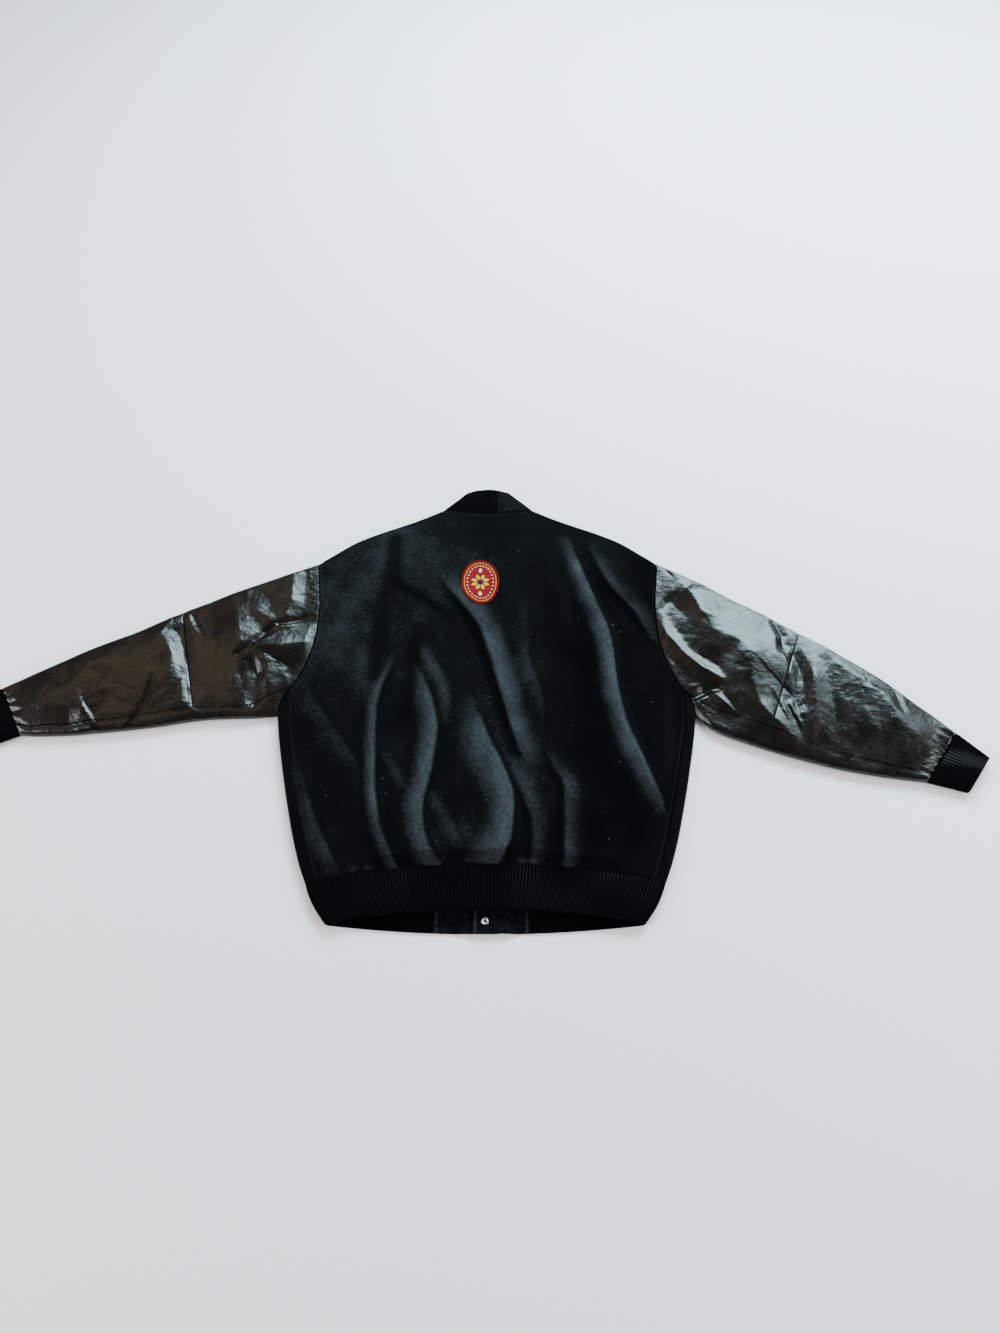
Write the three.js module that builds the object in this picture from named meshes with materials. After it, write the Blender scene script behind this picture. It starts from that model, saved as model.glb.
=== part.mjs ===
// A varsity jacket laid flat on its front, built as the pieces that a maker cuts and sews.
// Millimetres. x runs across the garment, y from the hem towards the collar with 0 at the
// underarm line, z up from the surface it lies on. The wearer's left is on the negative x side.
import * as THREE from "three";

// Cloth, seams and the thickness of the garment at its folded edges.
const wool = 2.4;
const leather = 1.6;
const knit = 2.6;
const gap = 0.3; // between pieces sewn edge to edge
const foldRadius = 7; // of every folded edge, so the flat garment is 14 thick there
const seamInset = 15; // the side seam lies this far in from the folded side, on the back
const frontLap = 18; // each front runs this far past the centre line
const pillowHeight = 11; // how far the back stands up over its flat edges
const pillowReach = { side: 120, top: 110, hem: 75 }; // how far in from each edge it does so
const calmEdge = { side: 14, top: 22, hem: 14 }; // folds die away this near each edge
const neckRise = 5; // how far the back stands up further at the middle of the neck
const ribRelief = 0.8;
const quarterTurn = [90, 60, 30, 0]; // degrees round a folded edge, from its outermost line

// Key places.
const hemSide = -268; // the rib's seam at the folded side
const hemHalf = 258;
const cornerY = -326; // the rib's lower corner
const cornerHalf = 225;
const pitHalf = 327;
const tip = { x: 288, y: 291 }; // where the shoulder meets the armhole
const neck = { x: 78, y: 407 }; // where the shoulder meets the collar
const frontNeckY = 312; // the neckline at the centre front
const backNeckMiddle = 394; // the neckline at the centre back
const frontNeckCurve = 2.2; // how square the front neckline is

// The hem's seam and lower edge, each a height at the centre and how far it drops by the side.
const hemLines = {
  backSeam: { centre: -241, drop: 27, half: hemHalf },
  frontSeam: { centre: -274, drop: -6, half: hemHalf },
  backEdge: { centre: -307, drop: 19, half: cornerHalf },
  frontEdge: { centre: -339, drop: -13, half: cornerHalf },
};

// Half of the body's outline below the arm: the half width at each height.
const sideOutline = [
  { y: -326, x: 225 },
  { y: -300, x: 243 },
  { y: -268, x: 258 },
  { y: -240, x: 269 },
  { y: -195, x: 283 },
  { y: -145, x: 296 },
  { y: -95, x: 308 },
  { y: -25, x: 323 },
  { y: 0, x: 327 },
];
// Half of the armhole, which the back, the front and the sleeve share.
const armhole = [
  { y: 0, x: 327 },
  { y: 7, x: 326 },
  { y: 19, x: 323.5 },
  { y: 30, x: 320 },
  { y: 44, x: 312 },
  { y: 58, x: 304 },
  { y: 74, x: 297 },
  { y: 92, x: 290.5 },
  { y: 114, x: 284.5 },
  { y: 140, x: 280 },
  { y: 168, x: 278 },
  { y: 198, x: 278 },
  { y: 228, x: 280.5 },
  { y: 256, x: 284 },
  { y: 284, x: 287 },
  { y: 287.5, x: 287.4 },
  { y: 290, x: 287.8 },
  { y: 291, x: 288 },
];
const sideSeamStation = 4; // the armhole row where the side seam runs into it
// Half of the shoulder line, from the centre out. Inside the neck it only guides the fold.
const shoulderLine = [
  { x: 0, y: 452 },
  { x: 78, y: 407 },
  { x: 123, y: 384 },
  { x: 160, y: 368 },
  { x: 195, y: 353 },
  { x: 229, y: 335 },
  { x: 260, y: 312 },
  { x: 288, y: 291 },
];

// Soft folds in the back, each a ridge along a curve from its upper end to its lower end.
// west and east are the half widths of its two slopes.
const backFolds = [
  { x1: 162, y1: 300, x2: 200, y2: 20, x3: 276, y3: -205, height: 9, west: 26, east: 14 },
  { x1: 186, y1: 312, x2: 232, y2: 244, x3: 268, y3: 168, height: 5, west: 18, east: 12 },
  { x1: -160, y1: 306, x2: -24, y2: 165, x3: 58, y3: -40, height: 8, west: 24, east: 16 },
  { x1: -150, y1: 238, x2: -98, y2: 204, x3: -48, y3: 168, height: -3, west: 12, east: 12 },
  { x1: -102, y1: 122, x2: -76, y2: 66, x3: -64, y3: -12, height: 5, west: 14, east: 11 },
  { x1: -100, y1: 56, x2: -94, y2: -96, x3: -76, y3: -236, height: 7, west: 20, east: 12 },
  { x1: -158, y1: 62, x2: -182, y2: -60, x3: -126, y3: -250, height: 8, west: 17, east: 12 },
  { x1: 8, y1: -20, x2: -2, y2: -118, x3: 36, y3: -226, height: 7, west: 24, east: 12 },
  { x1: -74, y1: -140, x2: -60, y2: -178, x3: -42, y3: -214, height: 4, west: 13, east: 11 },
  { x1: -252, y1: -16, x2: -234, y2: -46, x3: -208, y3: -80, height: 3, west: 18, east: 14 },
  { x1: -288, y1: -70, x2: -258, y2: -160, x3: -212, y3: -252, height: 4, west: 14, east: 13 },
  { x1: 40, y1: 4, x2: 50, y2: -58, x3: 88, y3: -104, height: 4, west: 14, east: 12 },
  { x1: 58, y1: -104, x2: 136, y2: -110, x3: 126, y3: -240, height: 7, west: 24, east: 13 },
  { x1: 74, y1: -152, x2: 70, y2: -196, x3: 66, y3: -240, height: 4, west: 12, east: 11 },
  { x1: -190, y1: 300, x2: -226, y2: 200, x3: -268, y3: 90, height: 4, west: 30, east: 28 },
  { x1: 70, y1: 236, x2: 96, y2: 166, x3: 124, y3: 104, height: 4, west: 17, east: 12 },
  { x1: 148, y1: 352, x2: 162, y2: 300, x3: 172, y3: 222, height: 4, west: 14, east: 14 },
];

// The sleeves as they lie: the upper and lower folded edge at each section, the radius of those
// folds, and how far the visible seam lies in from the lower edge. The elbow row is the joining
// seam of the upper-arm and forearm leather.
const leftSleeve = [
  { upperX: 288, upperY: 291, lowerX: 327, lowerY: 0, radius: 7, inset: 44 },
  { upperX: 345, upperY: 266, lowerX: 362, lowerY: -3, radius: 8, inset: 24 },
  { upperX: 400, upperY: 242, lowerX: 395, lowerY: -4, radius: 8, inset: 18 },
  { upperX: 452, upperY: 217, lowerX: 424, lowerY: -5, radius: 8, inset: 18 },
  { upperX: 504, upperY: 192, lowerX: 454, lowerY: -8, radius: 8, inset: 20, elbow: true },
  { upperX: 570, upperY: 155, lowerX: 525, lowerY: -20, radius: 8, inset: 20 },
  { upperX: 636, upperY: 122, lowerX: 594, lowerY: -28, radius: 8, inset: 18 },
  { upperX: 700, upperY: 89, lowerX: 652, lowerY: -33, radius: 7.5, inset: 17 },
  { upperX: 744, upperY: 64, lowerX: 699, lowerY: -34, radius: 7, inset: 16 },
  { upperX: 768, upperY: 50, lowerX: 722, lowerY: -32, radius: 7, inset: 16 },
];
const rightSleeve = [
  { upperX: 288, upperY: 291, lowerX: 327, lowerY: 0, radius: 7, inset: 44 },
  { upperX: 345, upperY: 257, lowerX: 347, lowerY: -20, radius: 8, inset: 36 },
  { upperX: 400, upperY: 221, lowerX: 370, lowerY: -34, radius: 8, inset: 36 },
  { upperX: 455, upperY: 188, lowerX: 397, lowerY: -45, radius: 8, inset: 36 },
  { upperX: 509, upperY: 151, lowerX: 426, lowerY: -56, radius: 8, inset: 34, elbow: true },
  { upperX: 566, upperY: 111, lowerX: 486, lowerY: -76, radius: 8, inset: 27 },
  { upperX: 622, upperY: 69, lowerX: 548, lowerY: -93, radius: 8, inset: 24 },
  { upperX: 676, upperY: 20, lowerX: 608, lowerY: -104, radius: 7.5, inset: 19 },
  { upperX: 707, upperY: -9, lowerX: 645, lowerY: -109, radius: 7, inset: 17 },
  { upperX: 726, upperY: -29, lowerX: 665, lowerY: -111, radius: 7, inset: 16 },
];
const leftCuffEnd = { upperX: 824, upperY: 12, lowerX: 785, lowerY: -60 };
const rightCuffEnd = { upperX: 768, upperY: -72, lowerX: 724, lowerY: -128 };
const gatherDepth = 1.6; // of the leather gathered into each cuff
const gatherReach = 26;

// Folds in the leather, in the same terms as the back's, in each sleeve's own half.
const leftSleeveFolds = [
  { x1: 520, y1: 169, x2: 520, y2: 100, x3: 486, y3: 24, height: 7, west: 14, east: 26 },
  { x1: 428, y1: 222, x2: 398, y2: 165, x3: 396, y3: 104, height: 8, west: 28, east: 24 },
  { x1: 340, y1: 163, x2: 384, y2: 190, x3: 426, y3: 219, height: 4, west: 20, east: 18 },
  { x1: 326, y1: 262, x2: 320, y2: 205, x3: 340, y3: 163, height: 5, west: 13, east: 24 },
  { x1: 289, y1: 131, x2: 345, y2: 125, x3: 378, y3: 118, height: 7, west: 22, east: 22 },
  { x1: 378, y1: 120, x2: 352, y2: 80, x3: 336, y3: 34, height: 6, west: 22, east: 12 },
  { x1: 373, y1: 106, x2: 366, y2: 70, x3: 362, y3: 36, height: -8, west: 10, east: 10 },
  { x1: 530, y1: 70, x2: 600, y2: 115, x3: 634, y3: 86, height: 7, west: 36, east: 34 },
  { x1: 634, y1: 86, x2: 655, y2: 40, x3: 732, y3: 5, height: 6, west: 30, east: 30 },
  { x1: 648, y1: 50, x2: 630, y2: 11, x3: 607, y3: -23, height: 4, west: 10, east: 18 },
];
const rightSleeveFolds = [
  { x1: 286, y1: 200, x2: 340, y2: 165, x3: 423, y3: 104, height: 11, west: 42, east: 50 },
  { x1: 423, y1: 104, x2: 414, y2: 50, x3: 446, y3: -8, height: 7, west: 34, east: 40 },
  { x1: 288, y1: 108, x2: 318, y2: 66, x3: 371, y3: 58, height: 5, west: 13, east: 10 },
  { x1: 318, y1: 26, x2: 352, y2: 60, x3: 350, y3: 4, height: -8, west: 9, east: 9 },
  { x1: 356, y1: 40, x2: 364, y2: 24, x3: 388, y3: 0, height: 4, west: 9, east: 9 },
  { x1: 498, y1: 148, x2: 470, y2: 80, x3: 492, y3: 8, height: 6, west: 20, east: 22 },
  { x1: 548, y1: 108, x2: 550, y2: 20, x3: 508, y3: -52, height: 7, west: 20, east: 46 },
  { x1: 548, y1: 108, x2: 635, y2: 15, x3: 674, y3: -50, height: 7, west: 46, east: 28 },
  { x1: 588, y1: 6, x2: 602, y2: -30, x3: 590, y3: -66, height: 3, west: 12, east: 12 },
];

// Collar, rib band, tabs, snaps and patch.
const collarRim = { half: 40, backY: 446, sideY: 441, frontY: 368 };
const collarRise = 6; // how far its back half arches up
const collarEnd = 4; // each end stops this far from the centre front
const hemArch = 3; // how far the band stands up at its lower edge
const cuffSwell = 1.5; // how far each cuff stands up in its middle
const sleeveArch = 5; // how far the top of a sleeve stands up over its folded edges
const collarRibs = 26;
const neckTurn = 0.975; // share of the neck's half width where the folded side begins to turn
const hemRibs = 96;
const cuffRibs = 18;
const tabWidth = { left: 73, right: 63 }; // from the centre front to the tab's rib seam
// How high each placket lies where they lap, and where across that lift starts and is full.
const lap = {
  under: { lift: 2, start: 45, full: 25 },
  over: { lift: 4.8, start: 50, full: 22 },
};
const snap = { radius: 7.5, ringRadius: 5.5, bore: 2, thickness: 1.6, sides: 12 };
const snapHeights = [-322, -235, -140, -45, 50, 145, 240];
const patch = { x: -12, y: 242, halfWidth: 31, halfHeight: 45, thickness: 1.2, clear: 0.3 };

const smooth = (t) => {
  const u = THREE.MathUtils.clamp(t, 0, 1);
  return u * u * (3 - 2 * u);
};
const mix = THREE.MathUtils.lerp;

// Reads a table of named columns: the value of one column where another has the given value.
function readTable(rows, from, to, value) {
  const last = rows.length - 1;
  const rising = rows[last][from] > rows[0][from];
  let i = 0;
  while (i < last - 1 && (rising ? value > rows[i + 1][from] : value < rows[i + 1][from])) i += 1;
  const share = (value - rows[i][from]) / (rows[i + 1][from] - rows[i][from]);
  return mix(rows[i][to], rows[i + 1][to], THREE.MathUtils.clamp(share, 0, 1));
}

const sideHalf = (y) => readTable(sideOutline, "y", "x", y);
const armholeHalf = (y) => readTable(armhole, "y", "x", y);
const shoulderY = (x) => readTable(shoulderLine, "x", "y", Math.abs(x));

// The seams and edges across the body, each a height at a place across.
const hemLine = ({ centre, drop, half }) => (x) => centre - drop * (x / half) ** 2;
const backSeamY = hemLine(hemLines.backSeam);
const frontSeamY = hemLine(hemLines.frontSeam);
const backEdgeY = hemLine(hemLines.backEdge);
const frontEdgeY = hemLine(hemLines.frontEdge);
const backNeckY = (x) => mix(backNeckMiddle, neck.y, (x / neck.x) ** 2);
const frontNecklineY = (x) => mix(frontNeckY, neck.y, (Math.max(x, 0) / neck.x) ** frontNeckCurve);
const backTopY = (x) => (Math.abs(x) < neck.x ? backNeckY(x) : shoulderY(x));
const frontTopY = (x) => (x < neck.x ? frontNecklineY(x) : shoulderY(x));

// Share of the full thickness at a distance in from a folded edge.
function rounding(distance, radius = foldRadius) {
  const u = THREE.MathUtils.clamp(distance / radius, 0, 1);
  return Math.sqrt(1 - (1 - u) ** 2);
}
const turnDistance = (degrees, radius) => radius * (1 - Math.sin(THREE.MathUtils.degToRad(degrees)));

// Height that a table of folds adds at a place.
function foldsAt(folds, x, y) {
  const steps = 10;
  let height = 0;
  for (const f of folds) {
    let best = Infinity;
    let side = 0;
    let along = 0;
    for (let k = 0; k <= steps; k += 1) {
      const t = k / steps;
      const cx = (1 - t) ** 2 * f.x1 + 2 * t * (1 - t) * f.x2 + t * t * f.x3;
      const cy = (1 - t) ** 2 * f.y1 + 2 * t * (1 - t) * f.y2 + t * t * f.y3;
      const dx = 2 * (1 - t) * (f.x2 - f.x1) + 2 * t * (f.x3 - f.x2);
      const dy = 2 * (1 - t) * (f.y2 - f.y1) + 2 * t * (f.y3 - f.y2);
      const length = Math.hypot(dx, dy);
      const across = ((x - cx) * -dy + (y - cy) * dx) / length;
      const beyond = ((x - cx) * dx + (y - cy) * dy) / length;
      const distance = Math.hypot(across, beyond);
      if (distance < best) {
        best = distance;
        side = across;
        along = THREE.MathUtils.clamp(t + beyond / length, 0, 1);
      }
    }
    const width = side > 0 ? f.east : f.west;
    const ends = smooth(along / 0.22) * smooth((1 - along) / 0.22);
    height += f.height * Math.exp(-((best / width) ** 2)) * (0.25 + 0.75 * ends);
  }
  return height;
}

// Upper face of the flat body, at any place inside its outline.
function bodyTop(x, y) {
  const half = Math.abs(x);
  const inSide = sideHalf(Math.min(y, 0)) - half;
  const inShoulder = shoulderY(half) - y;
  const round = rounding(inSide) * rounding(inShoulder);
  const inSeam = Math.min(sideHalf(Math.min(y, 0)) - seamInset, y > 0 ? armholeHalf(y) : pitHalf) - half;
  const inTop = backTopY(x) - y;
  const inHem = y - backSeamY(x);
  const calm = smooth(inSeam / calmEdge.side) * smooth(inTop / calmEdge.top) * smooth(inHem / calmEdge.hem);
  const stand =
    smooth(inSeam / pillowReach.side) * smooth(inTop / pillowReach.top) * smooth((inHem + 25) / pillowReach.hem);
  const collarStand = Math.max(0, 1 - (x / neck.x) ** 2) * smooth(1 - inTop / pillowReach.top);
  const folds = calm * (pillowHeight * stand + foldsAt(backFolds, x, y));
  return foldRadius * (1 + round) + neckRise * collarStand + folds;
}
// Lower face, flat but for the folded edges.
function bodyUnder(half, y) {
  const inSide = sideHalf(Math.min(y, 0)) - half;
  return foldRadius * (1 - rounding(inSide) * rounding(shoulderY(half) - y));
}
// How far a front is lifted where the plackets lap.
function lapHeight(side, across) {
  const { lift, start, full } = side < 0 ? lap.under : lap.over;
  return lift * smooth((start - across) / (start - full));
}

// A sheet of cloth of one thickness from a grid of points on its outer face. A place without a
// point is no cloth. within(i, j) may give directions that the thickness keeps square to, so that
// a cut edge stays in its own plane, and relief(i, j) raises a point of the outer face.
const leastTilt = 0.3; // a normal nearer to such a direction is left as it is
function sheet(grid, thickness, { flip = false, closed = false, within, relief } = {}) {
  const rows = grid.length;
  const columns = grid[0].length;
  const at = (i, j) => {
    if (i < 0 || i >= rows) return null;
    if (closed) return grid[i][(j + columns) % columns];
    return j < 0 || j >= columns ? null : grid[i][j];
  };
  const outer = [];
  const inner = [];
  const number = new Map();
  for (let i = 0; i < rows; i += 1) {
    for (let j = 0; j < columns; j += 1) {
      const p = at(i, j);
      if (!p) continue;
      const across = new THREE.Vector3().subVectors(at(i, j + 1) ?? p, at(i, j - 1) ?? p);
      const up = new THREE.Vector3().subVectors(at(i + 1, j) ?? p, at(i - 1, j) ?? p);
      const normal = across.cross(up).normalize().multiplyScalar(flip ? -1 : 1);
      for (const keep of within?.(i, j) ?? []) {
        const square = normal.clone().addScaledVector(keep, -normal.dot(keep));
        if (square.length() > leastTilt) normal.copy(square.normalize());
      }
      number.set(i * columns + j, outer.length);
      outer.push(p.clone().addScaledVector(normal, relief?.(i, j) ?? 0));
      inner.push(p.clone().addScaledVector(normal, -thickness));
    }
  }
  const n = outer.length;
  const index = [];
  const key = (i, j) => number.get(i * columns + (closed ? (j + columns) % columns : j));
  const full = (i, j) => {
    if (i < 0 || i >= rows - 1) return false;
    if (!closed && (j < 0 || j >= columns - 1)) return false;
    return Boolean(at(i, j) && at(i, j + 1) && at(i + 1, j) && at(i + 1, j + 1));
  };
  const face = (a, b, c) => index.push(...(flip ? [a, c, b] : [a, b, c]));
  const wall = (a, b) => {
    face(a, a + n, b);
    face(b, a + n, b + n);
  };
  for (let i = 0; i < rows - 1; i += 1) {
    for (let j = 0; j < (closed ? columns : columns - 1); j += 1) {
      if (!full(i, j)) continue;
      const [a, b, c, d] = [key(i, j), key(i, j + 1), key(i + 1, j + 1), key(i + 1, j)];
      face(a, b, c);
      face(a, c, d);
      face(a + n, c + n, b + n);
      face(a + n, d + n, c + n);
      if (!full(i - 1, j)) wall(a, b);
      if (!full(i, j + 1)) wall(b, c);
      if (!full(i + 1, j)) wall(c, d);
      if (!full(i, j - 1)) wall(d, a);
    }
  }
  const geometry = new THREE.BufferGeometry();
  const position = [...outer, ...inner].flatMap((p) => [p.x, p.y, p.z]);
  geometry.setAttribute("position", new THREE.Float32BufferAttribute(position, 3));
  geometry.setIndex(index);
  geometry.computeVertexNormals();
  return geometry;
}

const xAxis = new THREE.Vector3(1, 0, 0);
const yAxis = new THREE.Vector3(0, 1, 0);
const zAxis = new THREE.Vector3(0, 0, 1);

const finish = {
  wool: new THREE.MeshStandardMaterial({ color: 0x0c0d10, roughness: 0.95, metalness: 0 }),
  leather: new THREE.MeshStandardMaterial({ color: 0x15110e, roughness: 0.32, metalness: 0 }),
  knit: new THREE.MeshStandardMaterial({ color: 0x0a0a0c, roughness: 0.9, metalness: 0 }),
  metal: new THREE.MeshStandardMaterial({ color: 0xb9bbbd, roughness: 0.25, metalness: 1 }),
  patch: new THREE.MeshStandardMaterial({ color: 0xb01224, roughness: 0.7, metalness: 0 }),
};
const jacket = new THREE.Group();
function add(name, geometry, material) {
  const mesh = new THREE.Mesh(geometry, material);
  mesh.name = name;
  jacket.add(mesh);
  return mesh;
}

// Rows along the side below the arm, and the armhole's own rows above.
const sideRows = [-268, -255, -230, -195, -155, -110, -65, -27, 0];
const stretchTo = (y, top) => hemSide + ((y - hemSide) * (top - hemSide)) / -hemSide;

// The hem's arch fades out at the underarm, and the rise to the shoulder starts there.
const belowArm = (y) => Math.max(y / hemSide, 0);
const aboveArm = (y) => (Math.max(y, 0) / tip.y) ** 1.6;

// The back: one piece of wool from side seam to side seam, gathered a little into the rib.
function backGrid() {
  const meet = armhole[sideSeamStation].y;
  const rows = [
    ...sideRows.slice(0, -1).map((y) => ({ y: stretchTo(y, meet), below: belowArm(y), above: 0 })),
    ...armhole.slice(sideSeamStation).map(({ y }) => ({ y, below: 0, above: aboveArm(y - meet) })),
  ];
  rows.at(-1).above = 1;
  const neckShare = neck.x / tip.x;
  const neckStops = [0, 0.25, 0.5, 0.75, 1 - 2 / collarRibs, neckTurn, 1];
  const shares = neckStops.map((t) => t * neckShare);
  const outward = 15;
  for (let k = 1; k <= outward; k += 1) shares.push(mix(neckShare, 1, k / outward));
  const columns = [...shares.slice(1).reverse().map((s) => -s), ...shares];
  return rows.map((row) => {
    const half = row.y < meet ? sideHalf(Math.min(row.y, 0)) - seamInset : armholeHalf(row.y);
    const edge = half - gap / 2;
    return columns.map((s) => {
      const x = s * edge;
      const arch = row.below * (backSeamY(x) + gap - hemSide);
      const y = row.y + arch + row.above * (backTopY(x) - backTopY(edge));
      const atShoulder = row.above === 1 && Math.abs(x) > neck.x - 1;
      return new THREE.Vector3(x, y, bodyTop(x, y) + (atShoulder ? gap / 2 : 0));
    });
  });
}
const backPoints = backGrid();
const backColumns = backPoints[0].length;
const backSheet = sheet(backPoints, wool, {
  within: (i, j) => {
    const directions = [];
    if (i === 0) directions.push(yAxis);
    if (i === backPoints.length - 1) {
      const half = Math.abs(backPoints[i][j].x);
      if (half < neck.x + 1) directions.push(yAxis);
      if (half > neck.x - 1) directions.push(zAxis);
    }
    if (j === 0 || j === backColumns - 1) directions.push(xAxis);
    return directions;
  },
});
add("back", backSheet, finish.wool);

// A front: flat on the floor from the placket to the side, then round the folded side and up to
// the side seam on the back. Above the underarm it ends at the armhole.
const frontNeckStops = [collarEnd, 16, 32, 48, 64, 72, neck.x];
const frontAcross = [-frontLap, ...frontNeckStops, 108, 144, 180, 215, 250, 281];
function front(side, name) {
  const frontRows = [...sideRows, ...armhole.slice(1).map((r) => r.y)];
  const turn = quarterTurn.slice(0, 3).reverse();
  const wrap = [...quarterTurn.slice(1).map((d) => turnDistance(d, foldRadius)), seamInset - gap / 2];
  const grid = frontRows.map((edgeY) => {
    const below = belowArm(edgeY);
    const above = edgeY === tip.y ? 1 : aboveArm(edgeY);
    const edge = edgeY > 0 ? armholeHalf(edgeY) - gap / 2 : sideHalf(edgeY);
    const innerShare = (a) => (a + frontLap) / (tip.x - foldRadius + frontLap);
    const across = frontAcross.map((a) => mix(-frontLap, edge - foldRadius, innerShare(a)));
    across.push(...turn.map((d) => edge - turnDistance(d, foldRadius)));
    const row = across.map((x) => {
      const arch = below * (frontSeamY(x) + gap - hemSide);
      const y = edgeY + arch + above * (frontTopY(x) - frontTopY(edge));
      const seamDrop = edgeY === tip.y && x > neck.x - 1 ? gap / 2 : 0;
      return new THREE.Vector3(side * x, y, bodyUnder(x, y) + lapHeight(side, x) - seamDrop);
    });
    wrap.forEach((distance, k) => {
      if (edgeY > 0) return row.push(null);
      const top = armhole[k + 1].y;
      const x = sideHalf(Math.min(stretchTo(edgeY, top), 0)) - distance;
      const y = stretchTo(edgeY, top) + below * (backSeamY(x) + gap - hemSide);
      return row.push(new THREE.Vector3(side * x, y, bodyTop(x, y)));
    });
    return row;
  });
  const last = grid[0].length - 1;
  const firstArmRow = sideRows.length - 1;
  const sheetOf = sheet(grid, wool, {
    flip: side > 0,
    within: (i, j) => {
      const directions = [];
      if (i === 0 || (i === firstArmRow && j > last - wrap.length)) directions.push(yAxis);
      if (i === frontRows.length - 1) {
        if (j < frontNeckStops.length) directions.push(xAxis, yAxis);
        else directions.push(zAxis);
        if (j === frontNeckStops.length) directions.push(yAxis);
      }
      if (j === last || j === 0) directions.push(xAxis);
      if (i > firstArmRow && j === last - wrap.length) directions.push(xAxis);
      return directions;
    },
  });
  add(name, sheetOf, finish.wool);
}
front(-1, "front_left");
front(1, "front_right");

// A sleeve: a flattened tube of leather that starts at the armhole. It is cut in three: the
// upper-arm and forearm leather over the top, joined at the elbow, and the under sleeve, which
// comes round the lower edge to the visible seam.
const topStations = [...armhole].reverse().map((r) => r.y); // from the shoulder down
const underStations = armhole.slice(1).map((r) => r.y);
const underSeamRow = 8; // the armhole row of the hidden seam below
const armholeEcho = [1, 0.5, 0.15]; // share of the armhole's curve that the first sections keep
function sleeveRing(rows, folds, side, q, shift) {
  const row = rows[q];
  const upper = new THREE.Vector2(row.upperX, row.upperY);
  const lower = new THREE.Vector2(row.lowerX, row.lowerY);
  const width = upper.distanceTo(lower);
  const along = new THREE.Vector2(lower.y - upper.y, upper.x - lower.x).normalize().negate();
  const hollowing = armholeEcho[q] ?? 0;
  const last = rows.length - 1;
  const rollShare = (k) => turnDistance(quarterTurn[k], row.radius) / width;
  const seamShare = 1 - row.inset / width;
  const topCount = topStations.length;
  const middle = topCount - 4 - sideSeamStation;
  // Where each armhole row lies across this section, from the upper edge to the lower.
  const shareOf = (station) => {
    const k = topCount - 1 - station; // from the shoulder
    if (q === 0) return (tip.y - armhole[station].y) / tip.y;
    if (k < 4) return rollShare(k);
    if (station < 4) return 1 - rollShare(station);
    return mix(rollShare(3), seamShare, (k - 3) / middle);
  };
  const arch = (c) => sleeveArch * Math.sin(Math.PI * c) * smooth(q / 2) * smooth((last - q) / 2);
  const place = (station, isTop, nudge) => {
    const c = shareOf(station) + nudge / width;
    const k = topCount - 1 - station;
    let turn = 0;
    if (k < 4) turn = quarterTurn[k];
    if (station < 4) turn = quarterTurn[station];
    const round = Math.cos(THREE.MathUtils.degToRad(turn));
    const p = new THREE.Vector2().lerpVectors(upper, lower, c);
    p.x += hollowing * (armholeHalf(tip.y * (1 - c)) - mix(tip.x, pitHalf, c));
    if (q === 0) p.x = armholeHalf(tip.y * (1 - c)) + gap / 2;
    p.addScaledVector(along, shift);
    let z = row.radius * (isTop ? 1 + round : 1 - round) + (isTop ? arch(shareOf(station)) : 0);
    if (isTop && q > 0 && q < last) z += foldsAt(folds, p.x, p.y) * round;
    return new THREE.Vector3(side * p.x, p.y, z);
  };
  const ring = [];
  for (let s = topCount - 1; s >= sideSeamStation; s -= 1) ring.push(place(s, true, 0));
  ring[ring.length - 1] = place(sideSeamStation, true, -gap / 2);
  ring.push(place(sideSeamStation, true, gap / 2));
  for (let s = sideSeamStation - 1; s >= 0; s -= 1) ring.push(place(s, true, 0));
  for (let s = 1; s < topCount - 1; s += 1) {
    if (s !== underSeamRow) ring.push(place(s, false, 0));
    else ring.push(place(s, false, gap / 2), place(s, false, -gap / 2));
  }
  return ring;
}
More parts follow.
